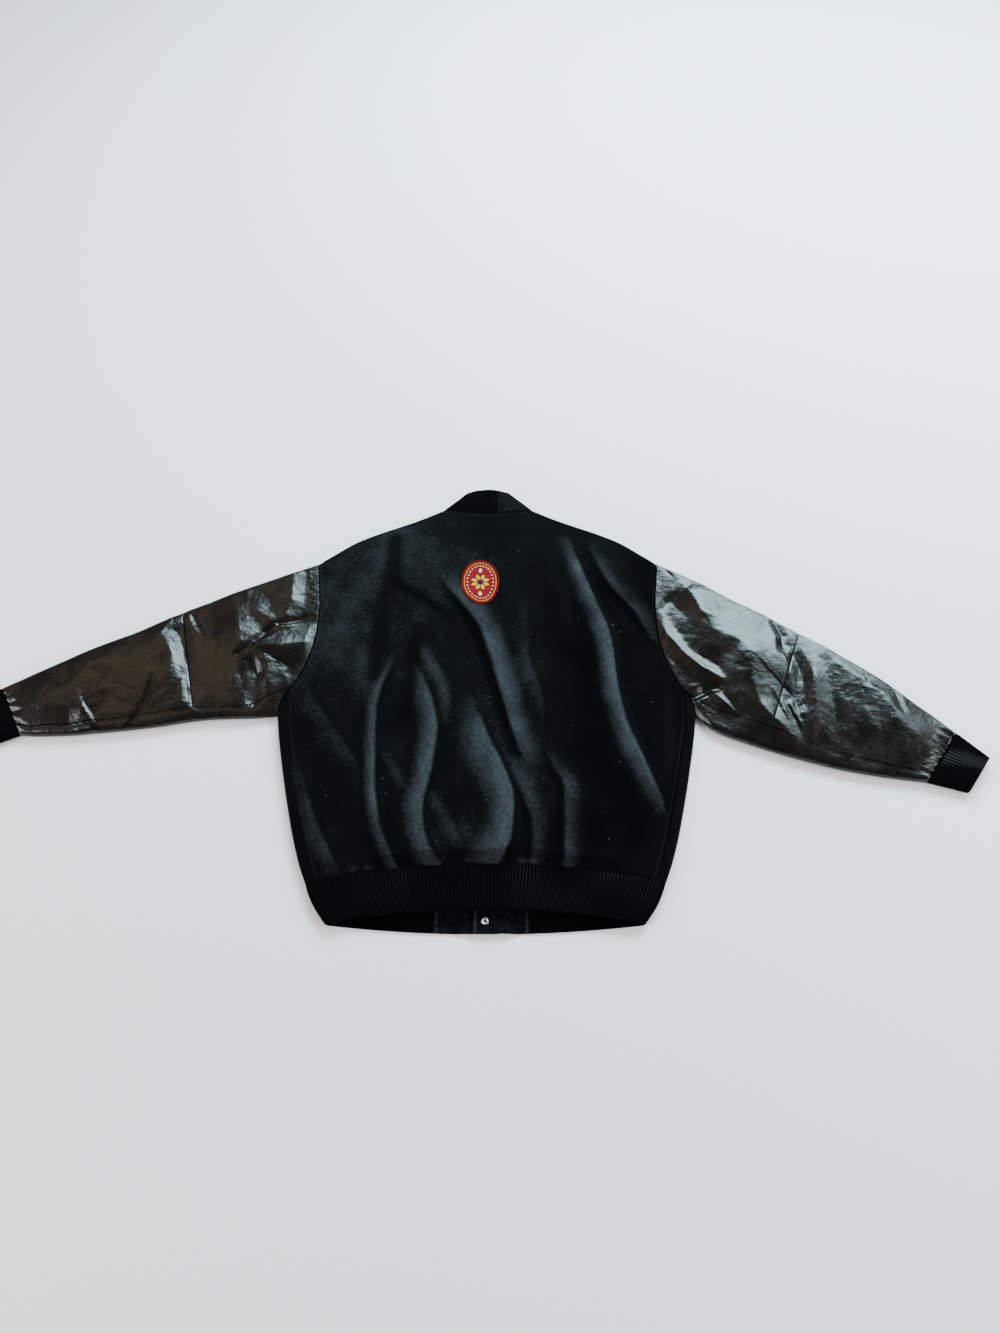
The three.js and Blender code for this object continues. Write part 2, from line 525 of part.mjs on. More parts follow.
// Waves in the upper face where the leather is gathered into the cuff.
function gather(ring, amount) {
  const first = 4;
  const last = topStations.length - 6;
  for (let j = first; j <= last; j += 1) ring[j].z += (j % 2 ? 1 : -1) * amount;
}
function sleeve(side, rows, folds, word) {
  const elbow = rows.findIndex((r) => r.elbow);
  const rings = rows.map((_, q) => sleeveRing(rows, folds, side, q, 0));
  const last = rows.length - 1;
  gather(rings[last], gatherDepth);
  const before = sleeveRing(rows, folds, side, elbow, -gap / 2);
  const after = sleeveRing(rows, folds, side, elbow, gap / 2);
  const seam = topStations.length - sideSeamStation; // index of the under sleeve's first point
  const count = rings[0].length;
  const hidden = count - (topStations.length - 2 - underSeamRow); // first point past the hidden seam
  const over = (ring) => [...ring.slice(hidden), ...ring.slice(0, seam)];
  const under = (ring) => ring.slice(seam, hidden);
  const endDirection = new THREE.Vector3(
    side * (rows[last].upperX - rows[last - 1].upperX),
    rows[last].upperY - rows[last - 1].upperY,
    0,
  ).normalize();
  const acrossRow = (q) =>
    new THREE.Vector3(side * (rows[q].lowerX - rows[q].upperX), rows[q].lowerY - rows[q].upperY, 0).normalize();
  const part = (list, name, ends) => {
    const grid = list.slice();
    const within = (i, j) => {
      const directions = [];
      if (i === 0) directions.push(ends.start);
      if (i === grid.length - 1) directions.push(ends.finish);
      if (j === 0 || j === grid[0].length - 1) directions.push(acrossRow(ends.first + i));
      return directions;
    };
    add(`${name}_${word}`, sheet(grid, leather, { flip: side < 0, within }), finish.leather);
  };
  const elbowAlong = new THREE.Vector3(-acrossRow(elbow).y, acrossRow(elbow).x, 0);
  const upperRings = [...rings.slice(0, elbow), before].map(over);
  part(upperRings, "sleeve_upper", { start: xAxis, finish: elbowAlong, first: 0 });
  const forearmRings = [after, ...rings.slice(elbow + 1)].map(over);
  part(forearmRings, "sleeve_forearm", { start: elbowAlong, finish: endDirection, first: elbow });
  part(rings.map(under), "sleeve_under", { start: xAxis, finish: endDirection, first: 0 });
}
sleeve(-1, leftSleeve, leftSleeveFolds, "left");
sleeve(1, rightSleeve, rightSleeveFolds, "right");

// A cuff: a short knitted tube, ribbed on its upper face.
function cuff(side, seamRow, end, word) {
  const rows = 4;
  const start = {
    upper: new THREE.Vector2(seamRow.upperX, seamRow.upperY),
    lower: new THREE.Vector2(seamRow.lowerX, seamRow.lowerY),
  };
  const finishLine = {
    upper: new THREE.Vector2(end.upperX, end.upperY),
    lower: new THREE.Vector2(end.lowerX, end.lowerY),
  };
  const axis = new THREE.Vector2(start.upper.y - start.lower.y, start.lower.x - start.upper.x).normalize();
  start.upper.addScaledVector(axis, gap);
  start.lower.addScaledVector(axis, gap);
  const radius = seamRow.radius;
  const topSteps = 2 * cuffRibs;
  const underSteps = 8;
  const grid = [];
  for (let i = 0; i < rows; i += 1) {
    const t = i / (rows - 1);
    const upper = start.upper.clone().lerp(finishLine.upper, t);
    const lower = start.lower.clone().lerp(finishLine.lower, t);
    const width = upper.distanceTo(lower);
    const point = (c, isTop) => {
      const distance = Math.min(c, 1 - c) * width;
      const round = rounding(distance, radius);
      const p = upper.clone().lerp(lower, c);
      const swell = isTop ? cuffSwell * Math.sin(Math.PI * c) * Math.sin(Math.PI * t) : 0;
      return new THREE.Vector3(side * p.x, p.y, radius * (isTop ? 1 + round : 1 - round) + swell);
    };
    const row = [];
    // Steps are closer together round the folded edges.
    const spread = (u) => 0.5 - 0.5 * Math.cos(Math.PI * u);
    for (let k = 0; k < topSteps; k += 1) {
      const u = k / topSteps;
      row.push(point(mix(u, spread(u), 0.35), true));
    }
    for (let k = 0; k < underSteps; k += 1) row.push(point(1 - spread(k / underSteps), false));
    grid.push(row);
  }
  const flat = new THREE.Vector3(side * axis.x, axis.y, 0);
  const geometry = sheet(grid, knit, {
    flip: side < 0,
    closed: true,
    within: (i) => (i === 0 ? [flat] : []),
    relief: (i, j) => (j > 1 && j < topSteps - 1 && j % 2 ? ribRelief : 0),
  });
  add(`cuff_${word}`, geometry, finish.knit);
}
cuff(-1, leftSleeve.at(-1), leftCuffEnd, "left");
cuff(1, rightSleeve.at(-1), rightCuffEnd, "right");

// The rib band: one strip from the left tab round the folded sides and the back to the right tab.
function hemBand() {
  const rows = 3;
  const flatSteps = 7;
  const turn = [60, 30, 0];
  const topSteps = 2 * hemRibs;
  const path = []; // each place: side, share of the half width or distance in from the fold, face
  for (let k = 0; k < flatSteps; k += 1) path.push({ side: -1, flat: k / flatSteps });
  for (const d of [...turn].reverse()) path.push({ side: -1, in: d, face: "under" });
  path.push({ side: -1, in: 90, face: "under" });
  for (const d of turn.slice(0, 2)) path.push({ side: -1, in: d, face: "top" });
  for (let k = 0; k <= topSteps; k += 1) path.push({ across: mix(-1, 1, k / topSteps), rib: k % 2 });
  for (const d of turn.slice(0, 2).reverse()) path.push({ side: 1, in: d, face: "top" });
  path.push({ side: 1, in: 90, face: "under" });
  for (const d of turn) path.push({ side: 1, in: d, face: "under" });
  for (let k = flatSteps - 1; k >= 0; k -= 1) path.push({ side: 1, flat: k / flatSteps });
  const grid = [];
  for (let i = 0; i < rows; i += 1) {
    const t = i / (rows - 1);
    const half = mix(hemHalf, cornerHalf, t);
    const topY = (x) => mix(backSeamY((x / half) * hemHalf), backEdgeY((x / half) * cornerHalf), t);
    const underY = (x) => mix(frontSeamY((x / half) * hemHalf), frontEdgeY((x / half) * cornerHalf), t);
    const row = path.map((p) => {
      if (p.across !== undefined) {
        const x = p.across * (half - foldRadius);
        const arch = hemArch * t * (1 - p.across ** 2);
        return new THREE.Vector3(x, topY(x), 2 * foldRadius + arch);
      }
      const tab = p.side < 0 ? tabWidth.left : tabWidth.right;
      if (p.flat !== undefined) {
        const x = mix(tab + gap / 2, half - foldRadius, p.flat);
        return new THREE.Vector3(p.side * x, underY(x), 0);
      }
      const x = half - turnDistance(p.in, foldRadius);
      const round = Math.cos(THREE.MathUtils.degToRad(p.in));
      const isTop = p.face === "top";
      const z = foldRadius * (isTop ? 1 + round : 1 - round);
      return new THREE.Vector3(p.side * x, isTop ? topY(x) : underY(x), z);
    });
    grid.push(row);
  }
  const last = path.length - 1;
  const geometry = sheet(grid.reverse(), knit, {
    within: (i, j) => {
      if (j === 0 || j === last) return [xAxis];
      return i === rows - 1 ? [yAxis] : [];
    },
    relief: (i, j) => (path[j].rib ? ribRelief : 0),
  });
  add("hem_rib", geometry, finish.knit);
}
hemBand();

// A wool tab between the rib band and the front edge, under the lap of its placket.
function tab(side, width, name) {
  const across = [-frontLap, 0, 22, 36, 50, width - gap / 2];
  const rows = 3;
  const grid = [];
  for (let i = 0; i < rows; i += 1) {
    const t = i / (rows - 1);
    grid.push(
      across.map((x) => {
        const y = mix(frontEdgeY(x), frontSeamY(x) - gap / 2, t);
        return new THREE.Vector3(side * x, y, lapHeight(side, x));
      }),
    );
  }
  add(name, sheet(grid, wool, { flip: side > 0, within: () => [yAxis] }), finish.wool);
}
tab(-1, tabWidth.left, "tab_left");
tab(1, tabWidth.right, "tab_right");

// The collar: a knitted band round the neck, its ends at the centre front. It lies folded at the
// two sides of the neck, ribbed on the back half.
function collar() {
  const rows = 4;
  const frontStops = frontNeckStops.slice(0, -1);
  const path = [];
  for (const x of frontStops) path.push({ side: -1, share: x / neck.x, front: true });
  path.push({ side: -1, share: 1, front: true });
  const steps = 2 * collarRibs;
  for (let k = 1; k < steps; k += 1) {
    const share = k === 1 || k === steps - 1 ? neckTurn * Math.sign(k - 2) : mix(-1, 1, k / steps);
    path.push({ share, rib: k % 2 && Math.abs(share) < neckTurn });
  }
  path.push({ side: 1, share: 1, front: true });
  for (const x of [...frontStops].reverse()) path.push({ side: 1, share: x / neck.x, front: true });
  const grid = [];
  for (let i = 0; i < rows; i += 1) {
    const t = i / (rows - 1);
    const half = mix(neck.x - gap, collarRim.half, t);
    const row = path.map((p) => {
      const s = Math.abs(p.share);
      const round = rounding((1 - s) * half, foldRadius);
      if (p.front) {
        const rimY = collarRim.frontY + (collarRim.sideY - collarRim.frontY) * s ** frontNeckCurve;
        const y = mix(frontNecklineY(s * neck.x) + gap, rimY, t);
        const z = foldRadius * (1 - round) + lapHeight(p.side, s * neck.x);
        return new THREE.Vector3(p.side * s * half, y, z);
      }
      const rimY = mix(collarRim.backY, collarRim.sideY, s ** 2);
      const y = mix(backNeckY(s * neck.x) + gap, rimY, t);
      const seamZ = bodyTop(s * neck.x, backNeckY(s * neck.x));
      const z = foldRadius * (1 + round) + collarRise * (1 - s ** 2);
      return new THREE.Vector3(p.share * half, y, mix(seamZ, z, smooth(2 * t)));
    });
    grid.push(row);
  }
  const geometry = sheet(grid, knit, {
    within: (i, j) => {
      const directions = i === 0 ? [yAxis] : [];
      if (Math.abs(path[j].share) === 1) directions.push(zAxis);
      else if (i === 0 && path[j].front) directions.push(xAxis);
      return directions;
    },
    relief: (i, j) => (path[j].rib ? ribRelief : 0),
  });
  add("collar", geometry, finish.knit);
}
collar();

// Snap fasteners down the centre front: a cap under the overlap and a ring on the underlap.
function snapCap(name, y) {
  const r = snap.radius;
  const t = snap.thickness;
  const profile = [
    [0, 0],
    [r * 0.6, 0.05],
    [r, t * 0.55],
    [r * 0.96, t],
    [0, t],
  ].map(([x, z]) => new THREE.Vector2(x, z));
  const mesh = add(name, new THREE.LatheGeometry(profile, snap.sides), finish.metal);
  mesh.rotation.x = Math.PI / 2;
  mesh.position.set(0, y, 0);
}
function snapRing(name, y) {
  const r = snap.ringRadius;
  const t = snap.thickness;
  const profile = [
    [snap.bore, 0],
    [r, 0],
    [r, t * 0.4],
    [r * 0.72, t],
    [snap.bore, t * 0.5],
    [snap.bore, 0],
  ].map(([x, z]) => new THREE.Vector2(x, z));
  const mesh = add(name, new THREE.LatheGeometry(profile, snap.sides), finish.metal);
  mesh.rotation.x = Math.PI / 2;
  mesh.position.set(0, y, lap.over.lift + wool + gap);
}
snapHeights.forEach((y, k) => {
  snapCap(`snap_cap_${k + 1}`, y);
  snapRing(`snap_ring_${k + 1}`, y);
});

// The patch: an oval of twill that lies on the back's own faces.
function backHeight(x, y) {
  const position = backSheet.getAttribute("position");
  const index = backSheet.getIndex();
  const corners = [0, 1, 2].map(() => new THREE.Vector3());
  let best = -Infinity;
  for (let t = 0; t < index.count; t += 3) {
    corners.forEach((c, k) => c.fromBufferAttribute(position, index.getX(t + k)));
    const [a, b, c] = corners;
    const area = (b.x - a.x) * (c.y - a.y) - (c.x - a.x) * (b.y - a.y);
    if (area < 1e-6) continue;
    const u = ((x - a.x) * (c.y - a.y) - (c.x - a.x) * (y - a.y)) / area;
    const v = ((b.x - a.x) * (y - a.y) - (x - a.x) * (b.y - a.y)) / area;
    if (u < -1e-6 || v < -1e-6 || u + v > 1 + 1e-6) continue;
    best = Math.max(best, a.z + u * (b.z - a.z) + v * (c.z - a.z));
  }
  return best;
}
function patchGrid() {
  const across = 8;
  const up = 12;
  const grid = [];
  for (let i = 0; i <= up; i += 1) {
    const v = mix(-1, 1, i / up);
    const row = [];
    for (let j = 0; j <= across; j += 1) {
      const u = mix(-1, 1, j / across);
      const x = patch.x + patch.halfWidth * u * Math.sqrt(1 - (v * v) / 2);
      const y = patch.y + patch.halfHeight * v * Math.sqrt(1 - (u * u) / 2);
      row.push(new THREE.Vector3(x, y, backHeight(x, y) + patch.clear + patch.thickness));
    }
    grid.push(row);
  }
  return grid;
}
add("patch", sheet(patchGrid(), patch.thickness), finish.patch);

// The origin is the middle of the garment's own box, on the surface it lies on.
const box = new THREE.Box3().setFromObject(jacket, true);
const middle = box.getCenter(new THREE.Vector3());
jacket.position.set(-middle.x, -middle.y, -box.min.z);

export default jacket;
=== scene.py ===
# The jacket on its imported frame: wool body, leather sleeves and rib knit, laid face down.
# Garment measures are in millimetres: x across, y from hem to collar with 0 at the underarm, z up.
import math

import bpy
import numpy as np
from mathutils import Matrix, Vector


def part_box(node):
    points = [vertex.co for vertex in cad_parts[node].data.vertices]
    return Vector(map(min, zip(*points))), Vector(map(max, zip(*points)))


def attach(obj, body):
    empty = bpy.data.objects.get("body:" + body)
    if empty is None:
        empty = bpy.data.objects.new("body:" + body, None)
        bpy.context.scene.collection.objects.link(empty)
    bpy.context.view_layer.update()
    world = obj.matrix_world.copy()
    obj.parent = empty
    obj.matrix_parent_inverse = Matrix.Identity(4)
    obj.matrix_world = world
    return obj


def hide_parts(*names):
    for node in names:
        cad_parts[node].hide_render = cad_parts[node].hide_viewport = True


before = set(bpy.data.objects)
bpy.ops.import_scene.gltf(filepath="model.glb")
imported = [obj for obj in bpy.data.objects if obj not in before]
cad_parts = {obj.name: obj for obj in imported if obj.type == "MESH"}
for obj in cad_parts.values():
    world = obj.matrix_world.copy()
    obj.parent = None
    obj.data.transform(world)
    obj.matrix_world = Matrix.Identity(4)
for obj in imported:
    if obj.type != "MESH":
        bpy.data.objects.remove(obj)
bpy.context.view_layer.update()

# The garment's own place in the frame, from two of its pieces.
lowest = -339  # the front edge at the middle
ribLow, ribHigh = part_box("hem_rib")
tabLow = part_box("tab_left")[0]
originX = (ribLow[0] + ribHigh[0]) * 500
originY = tabLow[1] * 1000 - lowest

cloth = {"wool": 2.4, "leather": 1.6, "knit": 2.6}
fold = 7  # radius of every folded edge
inset = 15  # the side seam lies this far in from the folded side
gap = 0.3  # between pieces at a seam
lap = 18  # each front runs this far past the middle
tip = (288, 291)  # shoulder end
neck = (78, 407)  # shoulder meets collar
underarm = 327
hemSide, hemHalf = -268, 258
cornerY, cornerHalf = -326, 225
seamTop = 44  # where the side seam runs into the armhole
tabWidth = {-1: 73, 1: 63}  # from the middle to each tab's rib seam
wrapTurn = {"in": (0, 1, 3.5, fold), "up": (0, 7, 19, 30)}  # the armhole where it turns under

sideOutline = {
    "y": (-326, -300, -268, -240, -195, -145, -95, -25, 0),
    "half": (225, 243, 258, 269, 283, 296, 308, 323, 327),
}
armhole = {
    "y": (0, 7, 19, 30, 44, 58, 74, 92, 114, 140, 168, 198, 228, 256, 284, 291),
    "half": (327, 326, 323.5, 320, 312, 304, 297, 290.5, 284.5, 280, 278, 278, 280.5, 284, 287, 288),
}
shoulderLine = {
    "x": (0, 78, 123, 160, 195, 229, 260, 288),
    "y": (452, 407, 384, 368, 353, 335, 312, 291),
}


def smoothStep(t):
    u = np.clip(t, 0, 1)
    return u * u * (3 - 2 * u)


def mix(a, b, t):
    return a + (b - a) * t


def curveThrough(xs, ys, at):
    # A smooth curve through every point, with no swing between them.
    xs, ys = np.asarray(xs, float), np.asarray(ys, float)
    if xs[0] > xs[-1]:
        xs, ys = xs[::-1], ys[::-1]
    step = np.diff(xs)
    rise = np.diff(ys) / step
    both = rise[1:] * rise[:-1]
    total = np.where(np.abs(rise[1:] + rise[:-1]) < 1e-9, 1, rise[1:] + rise[:-1])
    slope = np.concatenate([rise[:1], np.where(both > 0, 2 * both / total, 0), rise[-1:]])
    at = np.clip(at, xs[0], xs[-1])
    i = np.clip(np.searchsorted(xs, at) - 1, 0, len(step) - 1)
    t = (at - xs[i]) / step[i]
    near = (1 + 2 * t) * (1 - t) ** 2 * ys[i] + t * (1 - t) ** 2 * step[i] * slope[i]
    return near + t * t * (3 - 2 * t) * ys[i + 1] + t * t * (t - 1) * step[i] * slope[i + 1]


def cloud(x, y, size, seed):
    # Soft random hills about size across, from -1 to 1.
    lattice = np.random.default_rng(seed).uniform(-1, 1, (61, 61))
    u, v = np.broadcast_arrays(x / size + 20, y / size + 20)
    i, j = np.floor(u).astype(int), np.floor(v).astype(int)
    f, g = smoothStep(u - i), smoothStep(v - j)
    low = mix(lattice[i % 61, j % 61], lattice[(i + 1) % 61, j % 61], f)
    high = mix(lattice[i % 61, (j + 1) % 61], lattice[(i + 1) % 61, (j + 1) % 61], f)
    return mix(low, high, g)


def sideHalf(y):
    return curveThrough(sideOutline["y"], sideOutline["half"], y)


def armholeHalf(y):
    return curveThrough(armhole["y"], armhole["half"], y)


def shoulderY(x):
    return curveThrough(shoulderLine["x"], shoulderLine["y"], np.abs(x))


def arc(middle, end, half):
    # A curved edge: its y at the middle and at the end, and half its width.
    return lambda x: middle + (end - middle) * (x / half) ** 2


backSeamY = arc(-241, hemSide, hemHalf)
frontSeamY = arc(-274, hemSide, hemHalf)
backEdgeY = arc(-307, cornerY, cornerHalf)
frontEdgeY = arc(lowest, cornerY, cornerHalf)
backNeckY = arc(394, neck[1], neck[0])


def backTopY(x):
    return np.where(np.abs(x) < neck[0], backNeckY(x), shoulderY(x))


def frontNeckY(x):
    return 312 + 95 * (np.clip(x, 0, None) / neck[0]) ** 2.2


def frontTopY(x):
    return np.where(x < neck[0], frontNeckY(np.minimum(x, neck[0])), shoulderY(x))


def rounding(distance, radius=fold):
    u = np.clip(distance / radius, 0, 1)
    return np.sqrt(np.clip(1 - (1 - u) ** 2, 0, 1))


def hump(distance, reach):
    return np.exp(-((distance / reach) ** 2))


def fade(distance, reach):
    return np.exp(-np.clip(distance, 0, None) / reach)


# Folds in the wool: places and heights along the crest, how far its east and west slopes reach,
# the side that faces the light (1 east, -1 west, 0 both), and how strongly painted light and shade mark it in
# the wool's colour.
woolFolds = [
    ([(140, 330, 3), (155, 267, 8), (176, 200, 11), (197, 126, 12), (202, 44, 12), (215, -26, 11),
      (241, -94, 9), (262, -150, 6)], 12, 25, -1, 1.0),
    ([(112, 300, 2), (122, 220, 4), (134, 130, 3)], 16, 18, 0, 0.4),
    ([(176, 312, 3), (204, 240, 7), (243, 190, 7), (268, 140, 3)], 26, 11, 1, 0.75),
    ([(-66, 236, 3), (-40, 200, 9), (-8, 147, 12), (17, 60, 12), (36, -10, 10),
      (52, -66, 5)], 28, 14, 1, 0.85),
    ([(64, 200, 2), (64, 110, 4), (82, 40, 5), (92, -20, 2)], 13, 24, -1, 0.5),
    ([(-104, 64, 3), (-86, 14, 8), (-78, -30, 10), (-85, -101, 10), (-96, -162, 10), (-87, -213, 8),
      (-66, -246, 7), (-58, -262, 6)], 11, 26, -1, 0.85),
    ([(-150, 92, 2), (-165, 50, 6), (-173, 0, 9), (-171, -60, 10), (-168, -120, 10), (-157, -184, 8),
      (-130, -246, 7), (-122, -264, 6)], 10, 14, -1, 0.9),
    ([(-12, -8, 3), (0, -45, 8), (22, -95, 11), (38, -150, 11), (34, -205, 10), (14, -242, 8),
      (6, -258, 6)], 12, 38, -1, 0.95),
    ([(-104, 112, 3), (-86, 75, 7), (-67, 32, 7), (-64, -16, 3)], 13, 13, 0, 0.6),
    ([(-104, 168, 2), (-72, 135, 3), (-62, 96, 2)], 13, 18, -1, 0.4),
    ([(-84, -138, 3), (-61, -176, 6), (-40, -214, 3)], 11, 14, 0, 0.5),
    ([(38, -96, 5), (58, -140, 7), (70, -190, 7), (68, -240, 6), (66, -258, 5)], 22, 10, 1, 0.5),
    ([(100, -88, 4), (119, -130, 7), (117, -190, 8), (116, -242, 7), (118, -260, 6)], 24, 12, 1, 0.7),
    ([(-292, 62, 2), (-248, -12, 5), (-208, -70, 5), (-190, -96, 2)], 18, 30, -1, 0.5),
    ([(-288, -76, 2), (-262, -150, 5), (-232, -215, 6), (-208, -258, 3)], 11, 24, -1, 0.55),
    ([(-165, -58, 2), (-140, -96, 4), (-122, -130, 3)], 10, 10, 0, 0.45),
    ([(-150, 344, 2), (-190, 270, 4), (-232, 170, 5), (-262, 84, 2)], 30, 30, 0, 0.4),
    ([(-232, 300, 2), (-262, 232, 3), (-268, 160, 2)], 18, 18, 0, 0.3),
    ([(-176, 186, 2), (-196, 110, 4), (-186, 40, 3)], 22, 24, 0, 0.35),
    ([(-118, 350, 1), (-96, 306, 3), (-52, 286, 2)], 26, 26, 0, 0.3),
    ([(286, 40, 1), (282, -60, 4), (268, -150, 4), (260, -244, 2)], 12, 24, -1, 0.35),
    ([(205, 47, 1), (232, 42, 2), (262, 33, 1)], 5, 5, 0, 0.4),
    ([(-36, -180, 3), (-22, -212, 4), (-16, -246, 3)], 9, 11, 0, 0.3),
    ([(172, -170, 2), (184, -212, 4), (178, -248, 3)], 12, 12, 0, 0.12),
    # hollows, their heights below nought
    ([(-160, 242, -2), (-143, 231, -4), (-101, 204, -5), (-60, 172, -2)], 11, 11, 0, 0),
    ([(-159, 337, -2), (-161, 235, -4), (-176, 156, -3), (-176, 64, -2)], 16, 16, 0, 0),
    ([(-116, 130, -2), (-122, 60, -4), (-128, -20, -2)], 12, 12, 0, 0),
    ([(150, 100, -2), (158, 0, -4), (176, -110, -3)], 30, 30, 0, 0),
]


def nearLine(line, x, y):
    # How far each place is from a line, on which side of it, and the line's height there.
    best = np.full(np.broadcast(x, y).shape, np.inf)
    across, height = np.zeros(best.shape), np.zeros(best.shape)
    for (x1, y1, z1), (x2, y2, z2) in zip(line[:-1], line[1:]):
        dx, dy = x2 - x1, y2 - y1
        length = math.hypot(dx, dy)
        t = np.clip(((x - x1) * dx + (y - y1) * dy) / length**2, 0, 1)
        side = ((y - y1) * dx - (x - x1) * dy) / length
        distance = np.hypot(x - x1 - t * dx, y - y1 - t * dy)
        nearer = (distance < best - 1e-6) | ((distance < best + 1e-6) & (np.abs(side) > np.abs(across)))
        best = np.where(nearer, distance, best)
        across = np.where(nearer, side, across)
        height = np.where(nearer, mix(z1, z2, t), height)
    return best, across, height


def softLine(line):
    stops = np.arange(len(line))
    fine = np.linspace(0, len(line) - 1, 4 * (len(line) - 1) + 1)
    return list(zip(*[curveThrough(stops, [p[k] for p in line], fine) for k in range(3)]))


# Painted light and painted shade in the wool's colour: lit bands and shaded steep sides of the folds, shade
# in hollows and at the hem seam, and a lit line at the armhole.
paintedLight = {
    "reach": 1.5,  # slopes run this much further than their table says
    "behind": 8,  # how far the light reaches past a crest
    # painted shade in the hollows
    "hollowShade": 0.7,
    "ground": 0.2,
    "upperLeft": 0.1,
    "lowerRight": -0.12,
    "armholeHighlight": 0.3,  # painted highlight: a faint lit line beside the armhole seam, over its turned-in seam edge
    "seamShade": 0.9,
}


def woolFoldsAt(x, y):
    # The folds' height, and the painted light and painted shade they put in the wool's colour, from 0 to 1.
    ridge, hollow, lit, shade = (np.zeros(np.broadcast(x, y).shape) for _ in range(4))
    for line, east, west, sunny, shine in woolFolds:
        distance, across, height = nearLine(softLine(line), x, y)
        reach = paintedLight["reach"] * np.where(across > 0, east, west)
        fall = 1 - smoothStep(distance / reach)
        if line[0][2] < 0:
            hollow += height * fall
            # painted shade in a hollow
            shade = np.maximum(shade, paintedLight["hollowShade"] * fall)
            continue
        ridge += (height * fall) ** 3
        # painted light on the slope that faces the light, painted shade just past the crest on the steep side
        behind = across * sunny < 0
        glow = 1 - smoothStep(distance / np.where(behind, paintedLight["behind"], 0.95 * reach))
        lit = np.maximum(lit, shine * np.clip(height / 9, 0, 1) * glow)
        dark = fall * smoothStep(distance / 5) * np.clip(height / 6, 0, 1) * shine
        shade = np.maximum(shade, np.where(behind, dark, 0))
    return ridge ** (1 / 3) + hollow, lit, shade


def hemGathers(x, inHem):
    return cloud(x + 4 * cloud(x, inHem, 30, 8), inHem * 0.22, 9, 5)


# The wool's painted light and painted shade from 0 to 1, over a base tone that varies at random and by
# region.
def paintedLightAt(x, y):
    height, lit, shade = woolFoldsAt(x, y)
    lit = lit * (0.82 + 0.22 * cloud(x, y, 30, 18) + 0.16 * cloud(1.3 * x + 0.4 * y, 0.4 * y, 11, 19))
    ground = paintedLight["ground"] + 0.08 * cloud(x, y, 70, 14) + 0.05 * cloud(x, y, 22, 15)
    ground += paintedLight["upperLeft"] * smoothStep((y + 60) / 220) * smoothStep((20 - x) / 160)
    ground += paintedLight["lowerRight"] * smoothStep((x - 60) / 80) * smoothStep((y + 260) / 80)
    inHem = y - backSeamY(x)
    # painted highlight on the gathers just above the hem seam, and painted shade right at the seam
    puckers = np.clip(0.3 + hemGathers(x, inHem), 0, 1) * np.clip(0.45 + 0.6 * cloud(x, 0, 50, 31), 0, 1)
    lit = lit + (1 - lit) * 0.5 * puckers * hump(inHem - 5, 6)
    shade = np.maximum(shade, paintedLight["seamShade"] * fade(inHem, 2))
    # painted highlight: a faint lit line beside the armhole seam
    inArmhole = armholeHalf(y) - np.abs(x)
    lit = np.maximum(lit, paintedLight["armholeHighlight"] * hump(inArmhole - 4, 1.3) * smoothStep((y - 20) / 20))
    # the base tone lightened by the painted light and darkened by the painted shade
    return np.clip((ground + (1 - ground) * lit) * (1 - 0.85 * shade * (1 - lit)), 0, 1)


def creaseHeight(creases, x, y):
    # Leather bends in flat facets: each crease is a line of (x, y, height) with a slope on its
    # left and on its right. Ridges meet where they are equally high, and hollows are cut out.
    ridge = np.zeros(np.broadcast(x, y).shape)
    hollow = np.zeros(ridge.shape)
    for line, left, right in creases:
        best, across, height = nearLine(line, x, y)
        width = np.where(across > 0, left, right)
        fall = 1.04 - np.hypot(best / width, 0.8 / width + 0.03)
        slope = (fall + np.hypot(fall, 0.06)) / 2
        if line[0][2] < 0:
            hollow += height * slope
        else:
            ridge += (height * slope) ** 5
    return ridge ** (1 / 5) + hollow


wool = {
    "pillow": 11,  # how far the middle stands up
    "blouse": 2.6,  # roll of cloth over the hem band
    "puckers": 1.6,  # where it is gathered into the band
    "hills": 1.2,
    "ripples": 0.4,
    "neckRise": 5,  # how far the back stands up further at the middle of the neck
    "dips": {"side": 1.5, "hem": 1.0, "neck": 1.2},  # where the cloth turns in at each seam
    "dipReach": 2.2,
    "stitchLine": 0.8,  # the topstitching presses a shallow line beside the armhole
}


def sideSeam(y):
    return sideHalf(np.minimum(y, 0)) - inset


def bodyRound(half, y):
    return rounding(sideHalf(np.minimum(y, 0)) - half) * rounding(shoulderY(half) - y)


